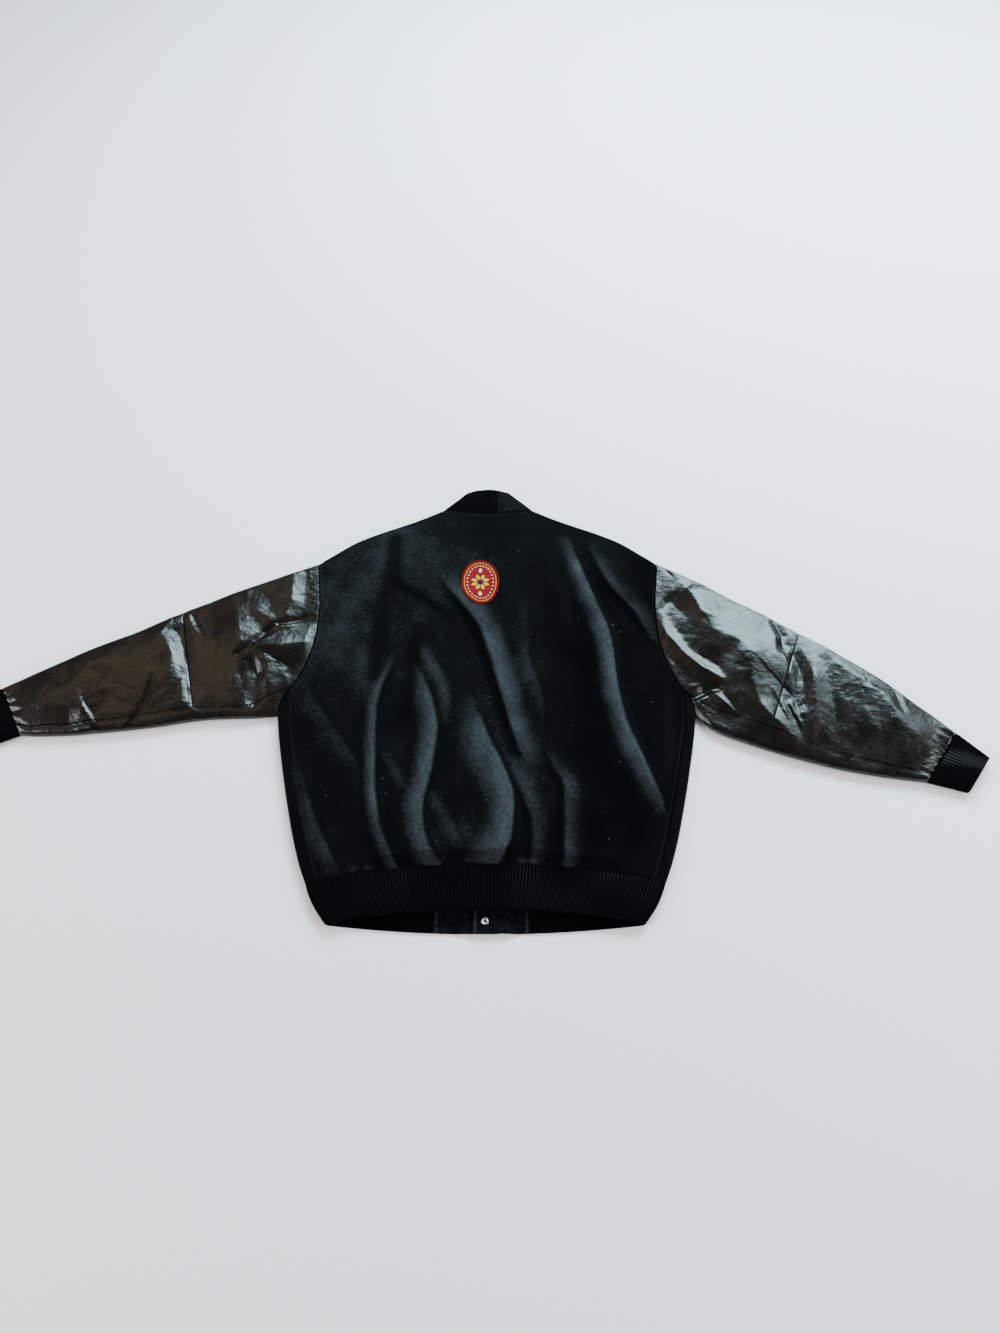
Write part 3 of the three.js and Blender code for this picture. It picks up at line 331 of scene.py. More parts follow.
def bodyTop(x, y):
    half = np.abs(x)
    inSeam = np.where(y > 0, np.minimum(sideSeam(y), armholeHalf(y)), sideSeam(y)) - half
    inTop = backTopY(x) - y
    inHem = y - backSeamY(x)
    opened = smoothStep(inSeam / 14) * smoothStep(inTop / 22) * smoothStep(inHem / 20)
    pillow = wool["pillow"] * smoothStep(inSeam / 120) * smoothStep(inTop / 110)
    pillow = pillow * smoothStep((inHem + 25) / 75)
    hills = wool["hills"] * cloud(x, y, 58, 3) + wool["ripples"] * cloud(x, y, 19, 4)
    height = fold * (1 + bodyRound(half, y)) + opened * (pillow + woolFoldsAt(x, y)[0] + hills)
    height += wool["neckRise"] * np.clip(1 - (x / neck[0]) ** 2, 0, 1) * smoothStep(1 - inTop / 110)
    edge = smoothStep(inSeam / 20)
    height += edge * wool["blouse"] * hump(inHem - 13, 13)
    height += edge * wool["puckers"] * hemGathers(x, inHem) * np.exp(-inHem / 26) * smoothStep(inHem / 4)
    height -= wool["dips"]["side"] * fade(inSeam, wool["dipReach"]) * (inSeam > -0.6)
    height -= wool["dips"]["hem"] * fade(inHem, wool["dipReach"])
    height -= wool["dips"]["neck"] * fade(inTop, wool["dipReach"]) * (half < neck[0])
    height -= wool["stitchLine"] * hump(inSeam - 7, 1.6) * smoothStep((y - 30) / 20)
    return height


def bodyUnder(half, y):
    return fold * (1 - bodyRound(half, y))


def lapHeight(side, across):
    # How far a front is lifted near the middle, where the left one laps over the right one.
    if side < 0:
        return 2 * smoothStep((45 - across) / 20)
    return 4.8 * smoothStep((50 - across) / 28)


# Meshes


def link(thing):
    bpy.context.scene.collection.objects.link(thing)
    return thing


def addMesh(name, points, faces, uvs=None, sharp=None, paintedLightAndTone=None):
    mesh = bpy.data.meshes.new(name)
    place = (points + np.array([originX, originY, 0])) / 1000
    mesh.from_pydata(place, [], faces)
    mesh.polygons.foreach_set("use_smooth", np.ones(len(mesh.polygons), bool))
    if uvs is not None:
        corners = np.empty(len(mesh.loops), int)
        mesh.loops.foreach_get("vertex_index", corners)
        layer = mesh.uv_layers.new(name="UVMap")
        layer.data.foreach_set("uv", uvs[corners].astype(np.float32).ravel())
    if sharp is not None:
        ends = np.empty(len(mesh.edges) * 2, int)
        mesh.edges.foreach_get("vertices", ends)
        ends = np.sort(ends.reshape(-1, 2), axis=1)
        sharp = np.sort(sharp, axis=1)
        keys = ends[:, 0] * len(points) + ends[:, 1]
        found = np.isin(keys, sharp[:, 0] * len(points) + sharp[:, 1])
        marks = mesh.attributes.new("sharp_edge", "BOOLEAN", "EDGE")
        marks.data.foreach_set("value", found)
    # per-point lightness for the colour ramps: painted light and painted shade on the wool's folds and the
    # knit's ribs, and the cloth's own tone
    if paintedLightAndTone is not None:
        mesh.attributes.new("paintedLightAndTone", "FLOAT", "POINT").data.foreach_set("value", paintedLightAndTone.astype(np.float32))
    mesh.update()
    return link(bpy.data.objects.new(name.replace(" ", "_"), mesh))


def unit(vectors, axis):
    return vectors / np.maximum(np.linalg.norm(vectors, axis=axis, keepdims=True), 1e-9)


def shell(name, outer, thickness, flip=False, relief=None, inner=None, level=(), paintedLightAndTone=None):
    # A sheet of cloth from a grid of places on its outer face. A missing place is nan. The cloth's
    # thickness has no part along an axis where level names it.
    here = np.isfinite(outer[:, :, 0])

    def step(axis):
        ahead, behind = np.roll(outer, -1, axis), np.roll(outer, 1, axis)
        np.moveaxis(ahead, axis, 0)[-1] = np.nan
        np.moveaxis(behind, axis, 0)[0] = np.nan
        ahead, behind = (np.where(np.isfinite(part), part, outer) for part in (ahead, behind))
        return ahead - behind

    normal = unit(np.cross(step(1), step(0)), 2)
    if flip:
        normal = -normal
    for places in level:
        normal[places] = 0
    if level:
        normal = unit(normal, 2)
    top = outer if relief is None else outer + normal * relief[:, :, None]
    depth = thickness if inner is None else (thickness + inner)[:, :, None]
    bottom = outer - normal * depth
    n = int(here.sum())
    count = np.full(here.shape, -1)
    count[here] = np.arange(n)
    cell = here[:-1, :-1] & here[:-1, 1:] & here[1:, 1:] & here[1:, :-1]
    a, b, c, d = count[:-1, :-1], count[:-1, 1:], count[1:, 1:], count[1:, :-1]
    quad = np.stack([a[cell], b[cell], c[cell], d[cell]], axis=1)
    faces = [quad, quad[:, ::-1] + n]
    wide = np.pad(cell, 1)
    rims = []
    for start, end, beside in (
        (a, b, wide[:-2, 1:-1]),
        (b, c, wide[1:-1, 2:]),
        (c, d, wide[2:, 1:-1]),
        (d, a, wide[1:-1, :-2]),
    ):
        rim = cell & ~beside
        p, q = start[rim], end[rim]
        rims.append(np.stack([p, q], axis=1))
        faces.append(np.stack([q, p, p + n, q + n], axis=1))
    faces = np.concatenate(faces)
    if flip:
        faces = faces[:, ::-1]
    rims = np.concatenate(rims)
    along = np.cumsum(np.linalg.norm(np.diff(outer, axis=1, prepend=outer[:, :1]), axis=2), axis=1)
    down = np.cumsum(np.linalg.norm(np.diff(outer, axis=0, prepend=outer[:1]), axis=2), axis=0)
    uv = np.stack([along, down], axis=2)[here] / 1000
    points = np.concatenate([top[here], bottom[here]])
    paintedLightAndTone = None if paintedLightAndTone is None else np.tile(np.broadcast_to(paintedLightAndTone, here.shape)[here], 2)
    return addMesh(name, points, faces.tolist(), np.tile(uv, (2, 1)), np.concatenate([rims, rims + n]), paintedLightAndTone)


def ringFaces(rings, sides, start=0):
    # Faces between rings of places that follow each other.
    faces = []
    for i in range(rings - 1):
        a, b = start + i * sides, start + (i + 1) * sides
        for k in range(sides):
            m = (k + 1) % sides
            faces.append((a + k, a + m, b + m, b + k))
    return faces


def smallPieces(name, template, faces, places, axes):
    # Copies of one small shape in one mesh. axes holds each copy's three directions, scaled.
    points = np.einsum("vk,nkc->nvc", template, axes) + places[:, None, :]
    count = len(template)
    copies = [[k + count * i for k in face] for i in range(len(places)) for face in faces]
    uvs = np.tile(template[:, :2], (len(places), 1))
    return addMesh(name, points.reshape(-1, 3), copies, uvs)


def capsule(sides=6):
    # A stitch: 1 long on x, 1 wide, 1 tall, blunt at both ends.
    rings = [(-0.5, 0.25), (-0.36, 0.46), (0, 0.5), (0.36, 0.46), (0.5, 0.25)]
    points = []
    for x, radius in rings:
        for k in range(sides):
            turn = 2 * math.pi * k / sides
            points.append((x, radius * math.cos(turn), radius * math.sin(turn)))
    faces = [tuple(reversed(face)) for face in ringFaces(len(rings), sides)]
    faces.append(tuple(range(sides)))
    faces.append(tuple(reversed(range((len(rings) - 1) * sides, len(rings) * sides))))
    return np.array(points), faces


def alongPath(path, pitch):
    # Places at even steps along a path, with the direction at each.
    lengths = np.concatenate([[0], np.cumsum(np.linalg.norm(np.diff(path, axis=0), axis=1))])
    stops = np.arange(pitch / 2, lengths[-1], pitch)

    def at(stops):
        return np.stack([np.interp(stops, lengths, path[:, k]) for k in range(3)], axis=1)

    return at(stops), unit(at(stops + 0.5) - at(stops - 0.5), 1)


def stitchRow(name, paths, pitch=3.4, length=2.7, width=0.75, height=0.7):
    # Rows of sewing stitches along paths on the cloth.
    template, faces = capsule()
    places, axes = [], []
    for path in paths:
        spots, direction = alongPath(path, pitch)
        across = np.cross([0.0, 0.0, 1.0], direction)
        up = np.cross(direction, across)
        places.append(spots)
        axes.append(np.stack([direction * length, across * width, up * height], axis=1))
    return smallPieces(name, template, faces, np.concatenate(places), np.concatenate(axes))


def shadowCord(name, paths, width, height, sides=6):
    # A narrow cord laid along each path; here a matte black cord that stands for the shadow in a seam.
    turns = np.linspace(0, 2 * np.pi, sides, endpoint=False)
    points, faces = [], []
    for path in paths:
        ahead = np.gradient(path, axis=0)
        across = unit(np.cross([0.0, 0.0, 1.0], ahead), 1)
        up = unit(np.cross(ahead, across), 1)
        wide = across[:, None, :] * np.cos(turns)[None, :, None] * width / 2
        tall = up[:, None, :] * np.sin(turns)[None, :, None] * height / 2
        start = sum(len(ring) for ring in points)
        last = start + sides * (len(path) - 1)
        points.append((path[:, None, :] + wide + tall).reshape(-1, 3))
        faces += ringFaces(len(path), sides, start)
        faces.append(tuple(start + k for k in reversed(range(sides))))
        faces.append(tuple(last + k for k in range(sides)))
    return addMesh(name, np.concatenate(points), faces)


# Materials


def newMaterial(name, looks):
    material = bpy.data.materials.new(name)
    material.use_nodes = True
    tree = material.node_tree
    skin = tree.nodes["Principled BSDF"]
    setInputs(skin, looks)
    return material, tree, skin


def setInputs(node, values):
    for name, value in values.items():
        node.inputs[name].default_value = value


def addNode(tree, kind, values, joins):
    # A node with its inputs set, and joined to the outputs that feed it.
    node = tree.nodes.new(f"ShaderNode{kind}")
    setInputs(node, values)
    for name, output in joins.items():
        tree.links.new(output, node.inputs[name])
    return node


def placeFrom(tree, output):
    return tree.nodes.new("ShaderNodeTexCoord").outputs[output]


# reads the per-point painted light, painted shade and tone
def paintedLightAndToneFrom(tree):
    node = tree.nodes.new("ShaderNodeAttribute")
    node.attribute_name = "paintedLightAndTone"
    return node.outputs["Fac"]


def noiseFrom(tree, place, scale, detail, rough):
    values = {"Scale": scale, "Detail": detail, "Roughness": rough}
    return addNode(tree, "TexNoise", values, {"Vector": place}).outputs["Fac"]


def wavesFrom(tree, place, direction, values):
    node = addNode(tree, "TexWave", values, {"Vector": place})
    node.wave_type, node.bands_direction = "BANDS", direction
    return node.outputs["Fac"]


def rangeFrom(tree, value, to):
    values = {"From Min": 0.3, "From Max": 0.7, "To Min": to[0], "To Max": to[1]}
    return addNode(tree, "MapRange", values, {"Value": value}).outputs["Result"]


def mathsFrom(tree, operation, *terms):
    node = tree.nodes.new("ShaderNodeMath")
    node.operation = operation
    for socket, term in zip(node.inputs, terms):
        if isinstance(term, float):
            socket.default_value = term
        else:
            tree.links.new(term, socket)
    return node.outputs["Value"]


def rampFrom(tree, value, stops):
    node = addNode(tree, "ValToRGB", {}, {"Fac": value})
    ramp = node.color_ramp.elements
    while len(ramp) < len(stops):
        ramp.new(0.5)
    for element, (position, colour) in zip(ramp, stops):
        element.position = position
        element.color = (*colour, 1)
    return node.outputs["Color"]


def addBumps(tree, skin, layers):
    # Bumps from the widest to the finest, each a height, a distance in metres and a strength.
    normal = None
    for height, distance, strength in layers:
        joins = {"Height": height} if normal is None else {"Height": height, "Normal": normal}
        node = addNode(tree, "Bump", {"Distance": distance, "Strength": strength}, joins)
        normal = node.outputs["Normal"]
    tree.links.new(normal, skin.inputs["Normal"])


woolLook = {
    # from painted shade through the base tone to painted light
    "shades": [(0, (0.0004, 0.0005, 0.0006)), (0.25, (0.0023, 0.0026, 0.0031)), (1, (0.033, 0.039, 0.045))],
    "speckle": (0.72, 1.25),
    "skin": {
        "Roughness": 0.95,
        "Specular IOR Level": 0.03,
        "Sheen Weight": 0.02,
        "Sheen Roughness": 0.4,
        "Sheen Tint": (0.78, 0.86, 1.0, 1),
    },
}


def makeWool():
    material, tree, skin = newMaterial("wool", woolLook["skin"])
    place = placeFrom(tree, "Object")
    fibres = noiseFrom(tree, place, 900, 4, 0.65)
    clumps = noiseFrom(tree, place, 190, 3, 0.6)
    # the wool's colour carries the painted light and painted shade of its folds, speckled by the clumps
    speckle = rangeFrom(tree, clumps, woolLook["speckle"])
    lightness = mathsFrom(tree, "MULTIPLY", paintedLightAndToneFrom(tree), speckle)
    tree.links.new(rampFrom(tree, lightness, woolLook["shades"]), skin.inputs["Base Color"])
    addBumps(tree, skin, [(clumps, 0.0012, 0.4), (fibres, 0.0006, 0.6)])
    return material


leatherLook = {
    "shades": [(0.35, (0.0012, 0.001, 0.0008)), (0.7, (0.0062, 0.0043, 0.0026))],
    "rough": (0.13, 0.3),
    "skin": {"Specular IOR Level": 0.3, "Coat Weight": 0.08, "Coat Roughness": 0.2},
}


def makeLeather():
    material, tree, skin = newMaterial("leather", leatherLook["skin"])
    place = placeFrom(tree, "Object")
    stains = noiseFrom(tree, place, 28, 4, 0.55)
    tree.links.new(rampFrom(tree, stains, leatherLook["shades"]), skin.inputs["Base Color"])
    tree.links.new(rangeFrom(tree, stains, leatherLook["rough"]), skin.inputs["Roughness"])
    grain = addNode(tree, "TexVoronoi", {"Scale": 620}, {"Vector": place}).outputs["Distance"]
    wrinkles = noiseFrom(tree, place, 120, 5, 0.62)
    creasing = noiseFrom(tree, place, 42, 3, 0.55)
    addBumps(tree, skin, [(creasing, 0.003, 0.62), (wrinkles, 0.0011, 0.6), (grain, 0.0004, 0.3)])
    return material


knitLook = {
    # from dark furrows to painted highlights on the rib crests
    "shades": [(0.3, (0.0002, 0.0002, 0.0003)), (0.75, (0.0015, 0.0016, 0.0018)), (1, (0.016, 0.017, 0.019))],
    "loops": {"Scale": 160, "Distortion": 1.2, "Detail": 1.5, "Detail Scale": 2},
    "skin": {
        "Roughness": 0.92,
        "Specular IOR Level": 0.03,
        "Sheen Weight": 0.01,
        "Sheen Roughness": 0.45,
        "Sheen Tint": (0.8, 0.86, 1.0, 1),
    },
}


def makeKnit():
    material, tree, skin = newMaterial("knit", knitLook["skin"])
    place = placeFrom(tree, "UV")
    loops = wavesFrom(tree, place, "Y", knitLook["loops"])
    fuzz = noiseFrom(tree, place, 1400, 3, 0.6)
    addBumps(tree, skin, [(loops, 0.0006, 0.5), (fuzz, 0.0005, 0.5)])
    # painted highlight on the rib crests from the per-point painted light, with fuzz
    crest = mathsFrom(tree, "MULTIPLY_ADD", fuzz, 0.5, paintedLightAndToneFrom(tree))
    tree.links.new(rampFrom(tree, crest, knitLook["shades"]), skin.inputs["Base Color"])
    return material


def makePlain(name, colour, rough, metal=0.0, specular=0.5, sheen=0.0):
    looks = {
        "Base Color": (*colour, 1),
        "Roughness": rough,
        "Metallic": metal,
        "Specular IOR Level": specular,
        "Sheen Weight": sheen,
    }
    return newMaterial(name, looks)[0]


def makeThread(name, colour, scale=900):
    # Embroidery: fine ridges of thread across the piece's own direction.
    material, tree, skin = newMaterial(name, {"Roughness": 0.55, "Specular IOR Level": 0.1})
    ridges = wavesFrom(tree, placeFrom(tree, "UV"), "X", {"Scale": scale, "Distortion": 0.6})
    addBumps(tree, skin, [(ridges, 0.0003, 0.6)])
    darker = tuple(c * 0.7 for c in colour)
    tree.links.new(rampFrom(tree, ridges, [(0.1, darker), (0.7, colour)]), skin.inputs["Base Color"])
    return material


woolCloth, leatherCloth, knitCloth = makeWool(), makeLeather(), makeKnit()
metal = makePlain("snap metal", (0.4, 0.41, 0.42), 0.34, metal=1.0)
darkThread = makePlain("dark thread", (0.006, 0.006, 0.007), 0.7, specular=0.15, sheen=0.06)
# matte black for the cords that stand for the shadow in the seams
seamShadowBlack = makePlain("seam shadow black", (0.0006, 0.0006, 0.0007), 0.95, specular=0.02)
print("materials made")


def dress(piece, material, slot, *nodes):
    piece.data.materials.append(material)
    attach(piece, "root")
    if nodes:
        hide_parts(*nodes)
    return piece


# Back
backGrid = {"across": 206, "lower": 104, "upper": 104}
ends = (0, -1)  # the first and the last line of a grid


def makeBack():
    low = hemSide + (seamTop - hemSide) * np.linspace(0, 1, backGrid["lower"], endpoint=False) ** 1.2
    high = seamTop + (tip[1] - seamTop) * (1 - (1 - np.linspace(0, 1, backGrid["upper"])) ** 1.35)
    rowY = np.concatenate([low, high])[:, None]
    below = np.clip(1 - (rowY - hemSide) / (seamTop - hemSide), 0, 1)
    above = (np.clip(rowY - seamTop, 0, None) / (tip[1] - seamTop)) ** 1.6
    edge = np.where(rowY < seamTop, sideSeam(rowY), armholeHalf(rowY)) - gap / 2
    x = np.linspace(-1, 1, backGrid["across"])[None, :] * edge
    arch = below * (backSeamY(x) + gap - hemSide)
    y = rowY + arch + above * (backTopY(x) - backTopY(edge))
    points = np.stack([x, y, bodyTop(x, y)], axis=2)
    level = [np.s_[:, ends, 0], np.s_[0, :, 1]]
    return shell("back wool", points, cloth["wool"], level=level, paintedLightAndTone=paintedLightAt(x, y))


back = dress(makeBack(), woolCloth, "wool", "back")
print("back made")


# Fronts
def makeFront(side, word):
    flatEdge = tip[0] - fold
    rows = np.concatenate([np.linspace(hemSide, 0, 60), np.linspace(0, tip[1], 61)[1:]])
    flat = np.concatenate([np.linspace(-lap, neck[0], 33), np.linspace(neck[0], flatEdge, 34)[1:]])
    share = (flat + lap) / (flatEdge + lap)
    turnIn = fold * (1 - np.sin(np.radians(np.linspace(0, 90, 9))[1:]))
    wrapIn = np.concatenate([turnIn[::-1][1:], [fold], np.linspace(fold, inset - gap / 2, 7)[1:]])
    wrapTop = np.interp(wrapIn, [*wrapTurn["in"], inset - gap / 2], [*wrapTurn["up"], seamTop])
    grid = []
    for rowY in rows:
        below = max(rowY / hemSide, 0)
        above = (max(rowY, 0) / tip[1]) ** 1.6
        edge = armholeHalf(rowY) - gap / 2 if rowY > 0 else sideHalf(rowY)
        x = np.concatenate([mix(-lap, edge - fold, share), edge - turnIn])
        y = rowY + below * (frontSeamY(x) + gap - hemSide)
        y = y + above * (frontTopY(x) - frontTopY(edge))
        z = bodyUnder(x, y) + lapHeight(side, x)
        row = np.stack([side * x, y, z], axis=1)
        wrap = np.full((len(wrapIn), 3), np.nan)
        if rowY <= 0:
            # round the folded side and in to the seam on the back
            lifted = hemSide + (rowY - hemSide) * (wrapTop - hemSide) / -hemSide
            wrapX = sideHalf(np.minimum(lifted, 0)) - wrapIn
            wrapY = lifted + below * (backSeamY(wrapX) + gap - hemSide)
            wrap = np.stack([side * wrapX, wrapY, bodyTop(wrapX, wrapY)], axis=1)
        grid.append(np.concatenate([row, wrap]))
    grid = np.array(grid)
    paintedLightAndTone = 0.16 + 0.08 * cloud(grid[:, :, 0], grid[:, :, 1], 40, 17)
    level = [np.s_[:, ends, 0]]
    return shell(f"{word} front wool", grid, cloth["wool"], flip=side > 0, level=level, paintedLightAndTone=paintedLightAndTone)


for side, word in ((-1, "left"), (1, "right")):
    front = dress(makeFront(side, word), woolCloth, "wool", f"front_{word}")
print("fronts made")


# Sleeves
leftSleeve = {
    "upperX": (288, 345, 400, 452, 504, 570, 636, 700, 744, 768),
    "upperY": (291, 266, 242, 217, 192, 155, 122, 89, 64, 50),
    "lowerX": (327, 362, 395, 424, 454, 525, 594, 652, 699, 722),
    "lowerY": (0, -3, -4, -5, -8, -20, -28, -33, -34, -32),
    "radius": (7, 8, 8, 8, 8, 8, 8, 7.5, 7, 7),
    "inset": (44, 24, 18, 18, 20, 20, 18, 17, 16, 16),
    "cuffEnd": (824, 12, 785, -60),
    "gathers": 5,
    "cuffShine": 0.15,
    "seed": 21,
}
rightSleeve = {
    "upperX": (288, 345, 400, 455, 509, 566, 622, 676, 707, 726),
    "upperY": (291, 257, 221, 188, 151, 111, 69, 20, -9, -29),
    "lowerX": (327, 347, 370, 397, 426, 486, 548, 608, 645, 665),
    "lowerY": (0, -20, -34, -45, -56, -76, -93, -104, -109, -111),
    "radius": (7, 8, 8, 8, 8, 8, 8, 7.5, 7, 7),
    "inset": (44, 36, 36, 36, 34, 27, 24, 19, 17, 16),
    "cuffEnd": (768, -72, 724, -128),
    "gathers": 8,
    "cuffShine": 0.5,
    "seed": 33,
}
# Creases as they lie on each sleeve, x counted from the middle of the garment outward.
leftSleeve["creases"] = [
    ([(520, 169, 4), (529, 145, 7), (507, 108, 7), (503, 65, 7), (486, 24, 2)], 44, 20),
    ([(428, 222, 5), (410, 180, 9), (398, 125, 9), (396, 104, 5)], 40, 46),
    ([(340, 163, 4), (384, 190, 6), (426, 219, 3)], 34, 30),
    ([(326, 262, 3), (324, 210, 6), (331, 178, 5), (340, 163, 4)], 40, 19),
    ([(289, 131, 5), (335, 122, 8), (378, 120, 7), (362, 92, 8), (350, 60, 7), (336, 34, 3)], 34, 36),
    ([(394, 100, 3), (401, 60, 5), (396, 24, 2)], 28, 16),
    ([(482, 60, 3), (478, 22, 4), (458, 4, 2)], 14, 10),
    ([(530, 70, 6), (598, 101, 7), (632, 88, 8), (652, 49, 6), (699, 17, 5), (732, 5, 2)], 70, 60),
    ([(648, 50, 6), (630, 11, 7), (607, -23, 3)], 30, 9),
    ([(685, 82, 2), (696, 43, 4), (702, 20, 2)], 20, 14),
    ([(722, 42, 2), (727, 20, 3)], 12, 7),
    ([(560, 150, 2), (574, 110, 3), (560, 84, 2)], 22, 16),
    ([(346, 160, -2), (372, 132, -5), (398, 104, -3)], 9, 9),
    ([(298, 177, -2), (340, 165, -4)], 8, 7),
    ([(377, 105, -3), (366, 72, -10), (366, 28, -6)], 15, 17),
    ([(526, 65, -1), (532, 24, -3), (548, -14, -2)], 7, 7),
    ([(486, 184, -2), (476, 165, -4), (462, 146, -1)], 6, 6),
    ([(500, 150, -3), (484, 98, -5), (462, 40, -3)], 16, 18),
]
rightSleeve["creases"] = [
    ([(304, 184, 1), (332, 172, 5), (352, 163, 11), (372, 143, 12), (402, 131, 12), (423, 104, 13)], 92, 70),
    ([(423, 104, 13), (416, 70, 12), (420, 40, 10), (432, 8, 5)], 54, 62),
    ([(320, 250, 4), (338, 222, 11), (354, 178, 13)], 60, 34),
    ([(280, 172, 3), (296, 140, 6), (318, 106, 7), (344, 78, 8), (371, 60, 6)], 26, 20),
    ([(356, 40, 4), (364, 26, 6), (388, 0, 3)], 15, 11),
    ([(404, 44, 3), (410, 16, 5), (404, -12, 2)], 14, 12),
    ([(418, 40, 6), (428, 10, 10), (446, -14, 10), (474, -46, 5)], 36, 30),
    ([(524, 116, 5), (518, 60, 10), (510, 20, 10), (500, -20, 7), (494, -50, 3)], 38, 26),
    ([(548, 108, 8), (556, 90, 8), (620, 31, 8), (640, -16, 7), (674, -50, 3)], 50, 84),
    ([(450, 42, 4), (464, 0, 6), (478, -45, 2)], 14, 12),
    ([(472, 14, 4), (484, -16, 5), (493, -50, 2)], 12, 9),
    ([(548, 50, 2.4), (575, -16, 1.6)], 10, 8),
    ([(588, 6, 4), (600, -30, 5), (590, -66, 2)], 20, 20),
    ([(342, 246, -1), (318, 222, -3), (290, 198, -2)], 9, 12),
    ([(322, 30, -7), (344, 40, -9), (364, 44, -4)], 12, 9),
    ([(470, 168, -2), (479, 140, -5), (474, 112, -2)], 11, 11),
    ([(602, 52, -1), (640, 40, -3), (645, 8, -2)], 9, 9),
    ([(488, 120, -3), (500, 70, -5), (496, 16, -3)], 16, 16),
]
leather = {"arch": 5, "hills": 1.1, "mottle": 0.3, "gathers": 3.4, "seamDip": 1.8}


def sleeveSurface(side, rows, q, stations):
    # Places on a sleeve: q in rows from the armhole, and stations round it.
    index = np.arange(len(rows["upperX"]))
    last = index[-1]
    q = np.asarray(q, float)[:, None]
    names = ("upperX", "upperY", "lowerX", "lowerY", "radius", "inset")
    column = {name: curveThrough(index, rows[name], q) for name in names}
    width = np.hypot(column["upperX"] - column["lowerX"], column["upperY"] - column["lowerY"])
    radius = column["radius"]
    begin = np.clip(q, 0, 1)
    hollow = curveThrough((0, 1, 2, 3, last), (1, 0.5, 0.15, 0, 0), q)
    highTurn = radius / width
    lowTurn = mix(30 / 291, radius / width, begin)
    seam = mix(1 - seamTop / 291, 1 - column["inset"] / width, begin)
    hidden = mix(highTurn, seam, 0.6)
    marks = {"hidden": hidden, "high": highTurn, "seam": seam, "low": 1 - lowTurn}
    cs, rounds, tops = [], [], []
    for kind, value, end, isTop in stations:
        if kind == "highTurn":
            cs.append(radius * (1 - math.sin(value)) / width)
            rounds.append(math.cos(value))
        elif kind == "lowTurn":
            narrow = radius * (1 - math.sin(value)) / width
            wide = np.interp(fold * (1 - math.sin(value)), wrapTurn["in"], wrapTurn["up"]) / tip[1]
            cs.append(1 - mix(wide, narrow, begin))
            rounds.append(math.cos(value))
        else:
            cs.append(mix(marks[kind], marks[end], value))
            rounds.append(1.0)
        tops.append(isTop)
    c = np.concatenate(cs, axis=1)
    round_, top = np.array(rounds)[None, :], np.array(tops)[None, :]
    x = mix(column["upperX"], column["lowerX"], c)
    y = mix(column["upperY"], column["lowerY"], c)
    x = x + hollow * (armholeHalf(291 * (1 - c)) - mix(288, 327, c)) + 0.15 * (q == 0)
    z = radius * np.where(top, 1 + round_, 1 - round_)
    toCuff = (last - q) * 30
    inside = smoothStep(q / 1.0) * smoothStep(toCuff / 22)
    lift = leather["arch"] * np.sin(np.pi * c) * smoothStep(q / 2) * smoothStep((last - q) / 2)
    lift = lift + smoothStep(q / 0.25) * smoothStep(toCuff / 22) * creaseHeight(rows["creases"], x, y)
    lift = lift + leather["hills"] * cloud(x, y, 62, rows["seed"]) * inside
    lift = lift + leather["mottle"] * cloud(x, y, 15, rows["seed"] + 2) * inside
    near = np.exp(-((toCuff / 20) ** 2))
    waves = np.abs(np.sin(np.pi * (rows["gathers"] * c + 0.35 * cloud(c * 9, q, 1.3, rows["seed"] + 3))))
    lift = lift + leather["gathers"] * (waves - 0.35) * near
    dip = leather["seamDip"] * (0.3 + 0.7 * smoothStep((210 - y) / 50))
    lift = lift - dip * np.exp(-q * 57 / 2.8) - 1.8 * np.exp(-toCuff / 2.0)
    z = z + np.where(top, lift * round_ * smoothStep(np.minimum(c, 1 - c) * width / 10 + 0.2), 0)
    fromSeam = np.abs(c - seam) * width
    seamLine = np.where(c < seam, 0.9, 0.2) * np.exp(-fromSeam / 1.5) + 0.2 * hump(fromSeam - 5, 1.6)
    z = z - np.where(top, seamLine, 0)
    return np.stack([side * x, y, z], axis=2)


def turnStations(kind, start, end, count, isTop):
    return [(kind, math.radians(a), None, isTop) for a in np.linspace(start, end, count)]


def flatStations(start, end, first, last, count, isTop):
    return [(start, t, end, isTop) for t in np.linspace(first, last, count)]


def makeSleeve(side, rows, word):
    last = len(rows["upperX"]) - 1
    over = flatStations("hidden", "high", 0, 1, 9, False)[:-1]
    over += turnStations("highTurn", 0, 90, 7, False) + turnStations("highTurn", 90, 0, 9, True)[1:]
    over += flatStations("high", "seam", 0, 1, 118, True)[1:]
    under = flatStations("seam", "low", 0, 1, 12, True)[:-1]
    under += turnStations("lowTurn", 0, 90, 9, True) + turnStations("lowTurn", 90, 0, 7, False)[1:]
    under += flatStations("low", "hidden", 0, 1, 12, False)[1:]
    elbow = 4.0
    hair = 0.003

    def rowsOf(start, end, count):
        steps = np.linspace(0, 1, count)
        return mix(start, end, steps - 0.12 * np.sin(2 * np.pi * steps) / 2)

    pieces = []
    for name, stations, start, end, count in (
        ("upper arm", over, 0, elbow - hair, 124),
        ("forearm", over, elbow + hair, last, 136),
        ("under sleeve", under, 0, last, 220),
    ):
        points = sleeveSurface(side, rows, rowsOf(start, end, count), stations)
        seamDip = np.exp(-np.abs(rowsOf(start, end, count) - elbow) * 55 / 2.5)[:, None]
        if name != "under sleeve":
            points[:, :, 2] -= 1.3 * seamDip * (points[:, :, 2] > 9)
        level = [np.s_[0, :, 0]] if start == 0 else ()
        piece = shell(f"{word} {name}", points, cloth["leather"], flip=side < 0, level=level)
        pieces.append(piece)
    return pieces


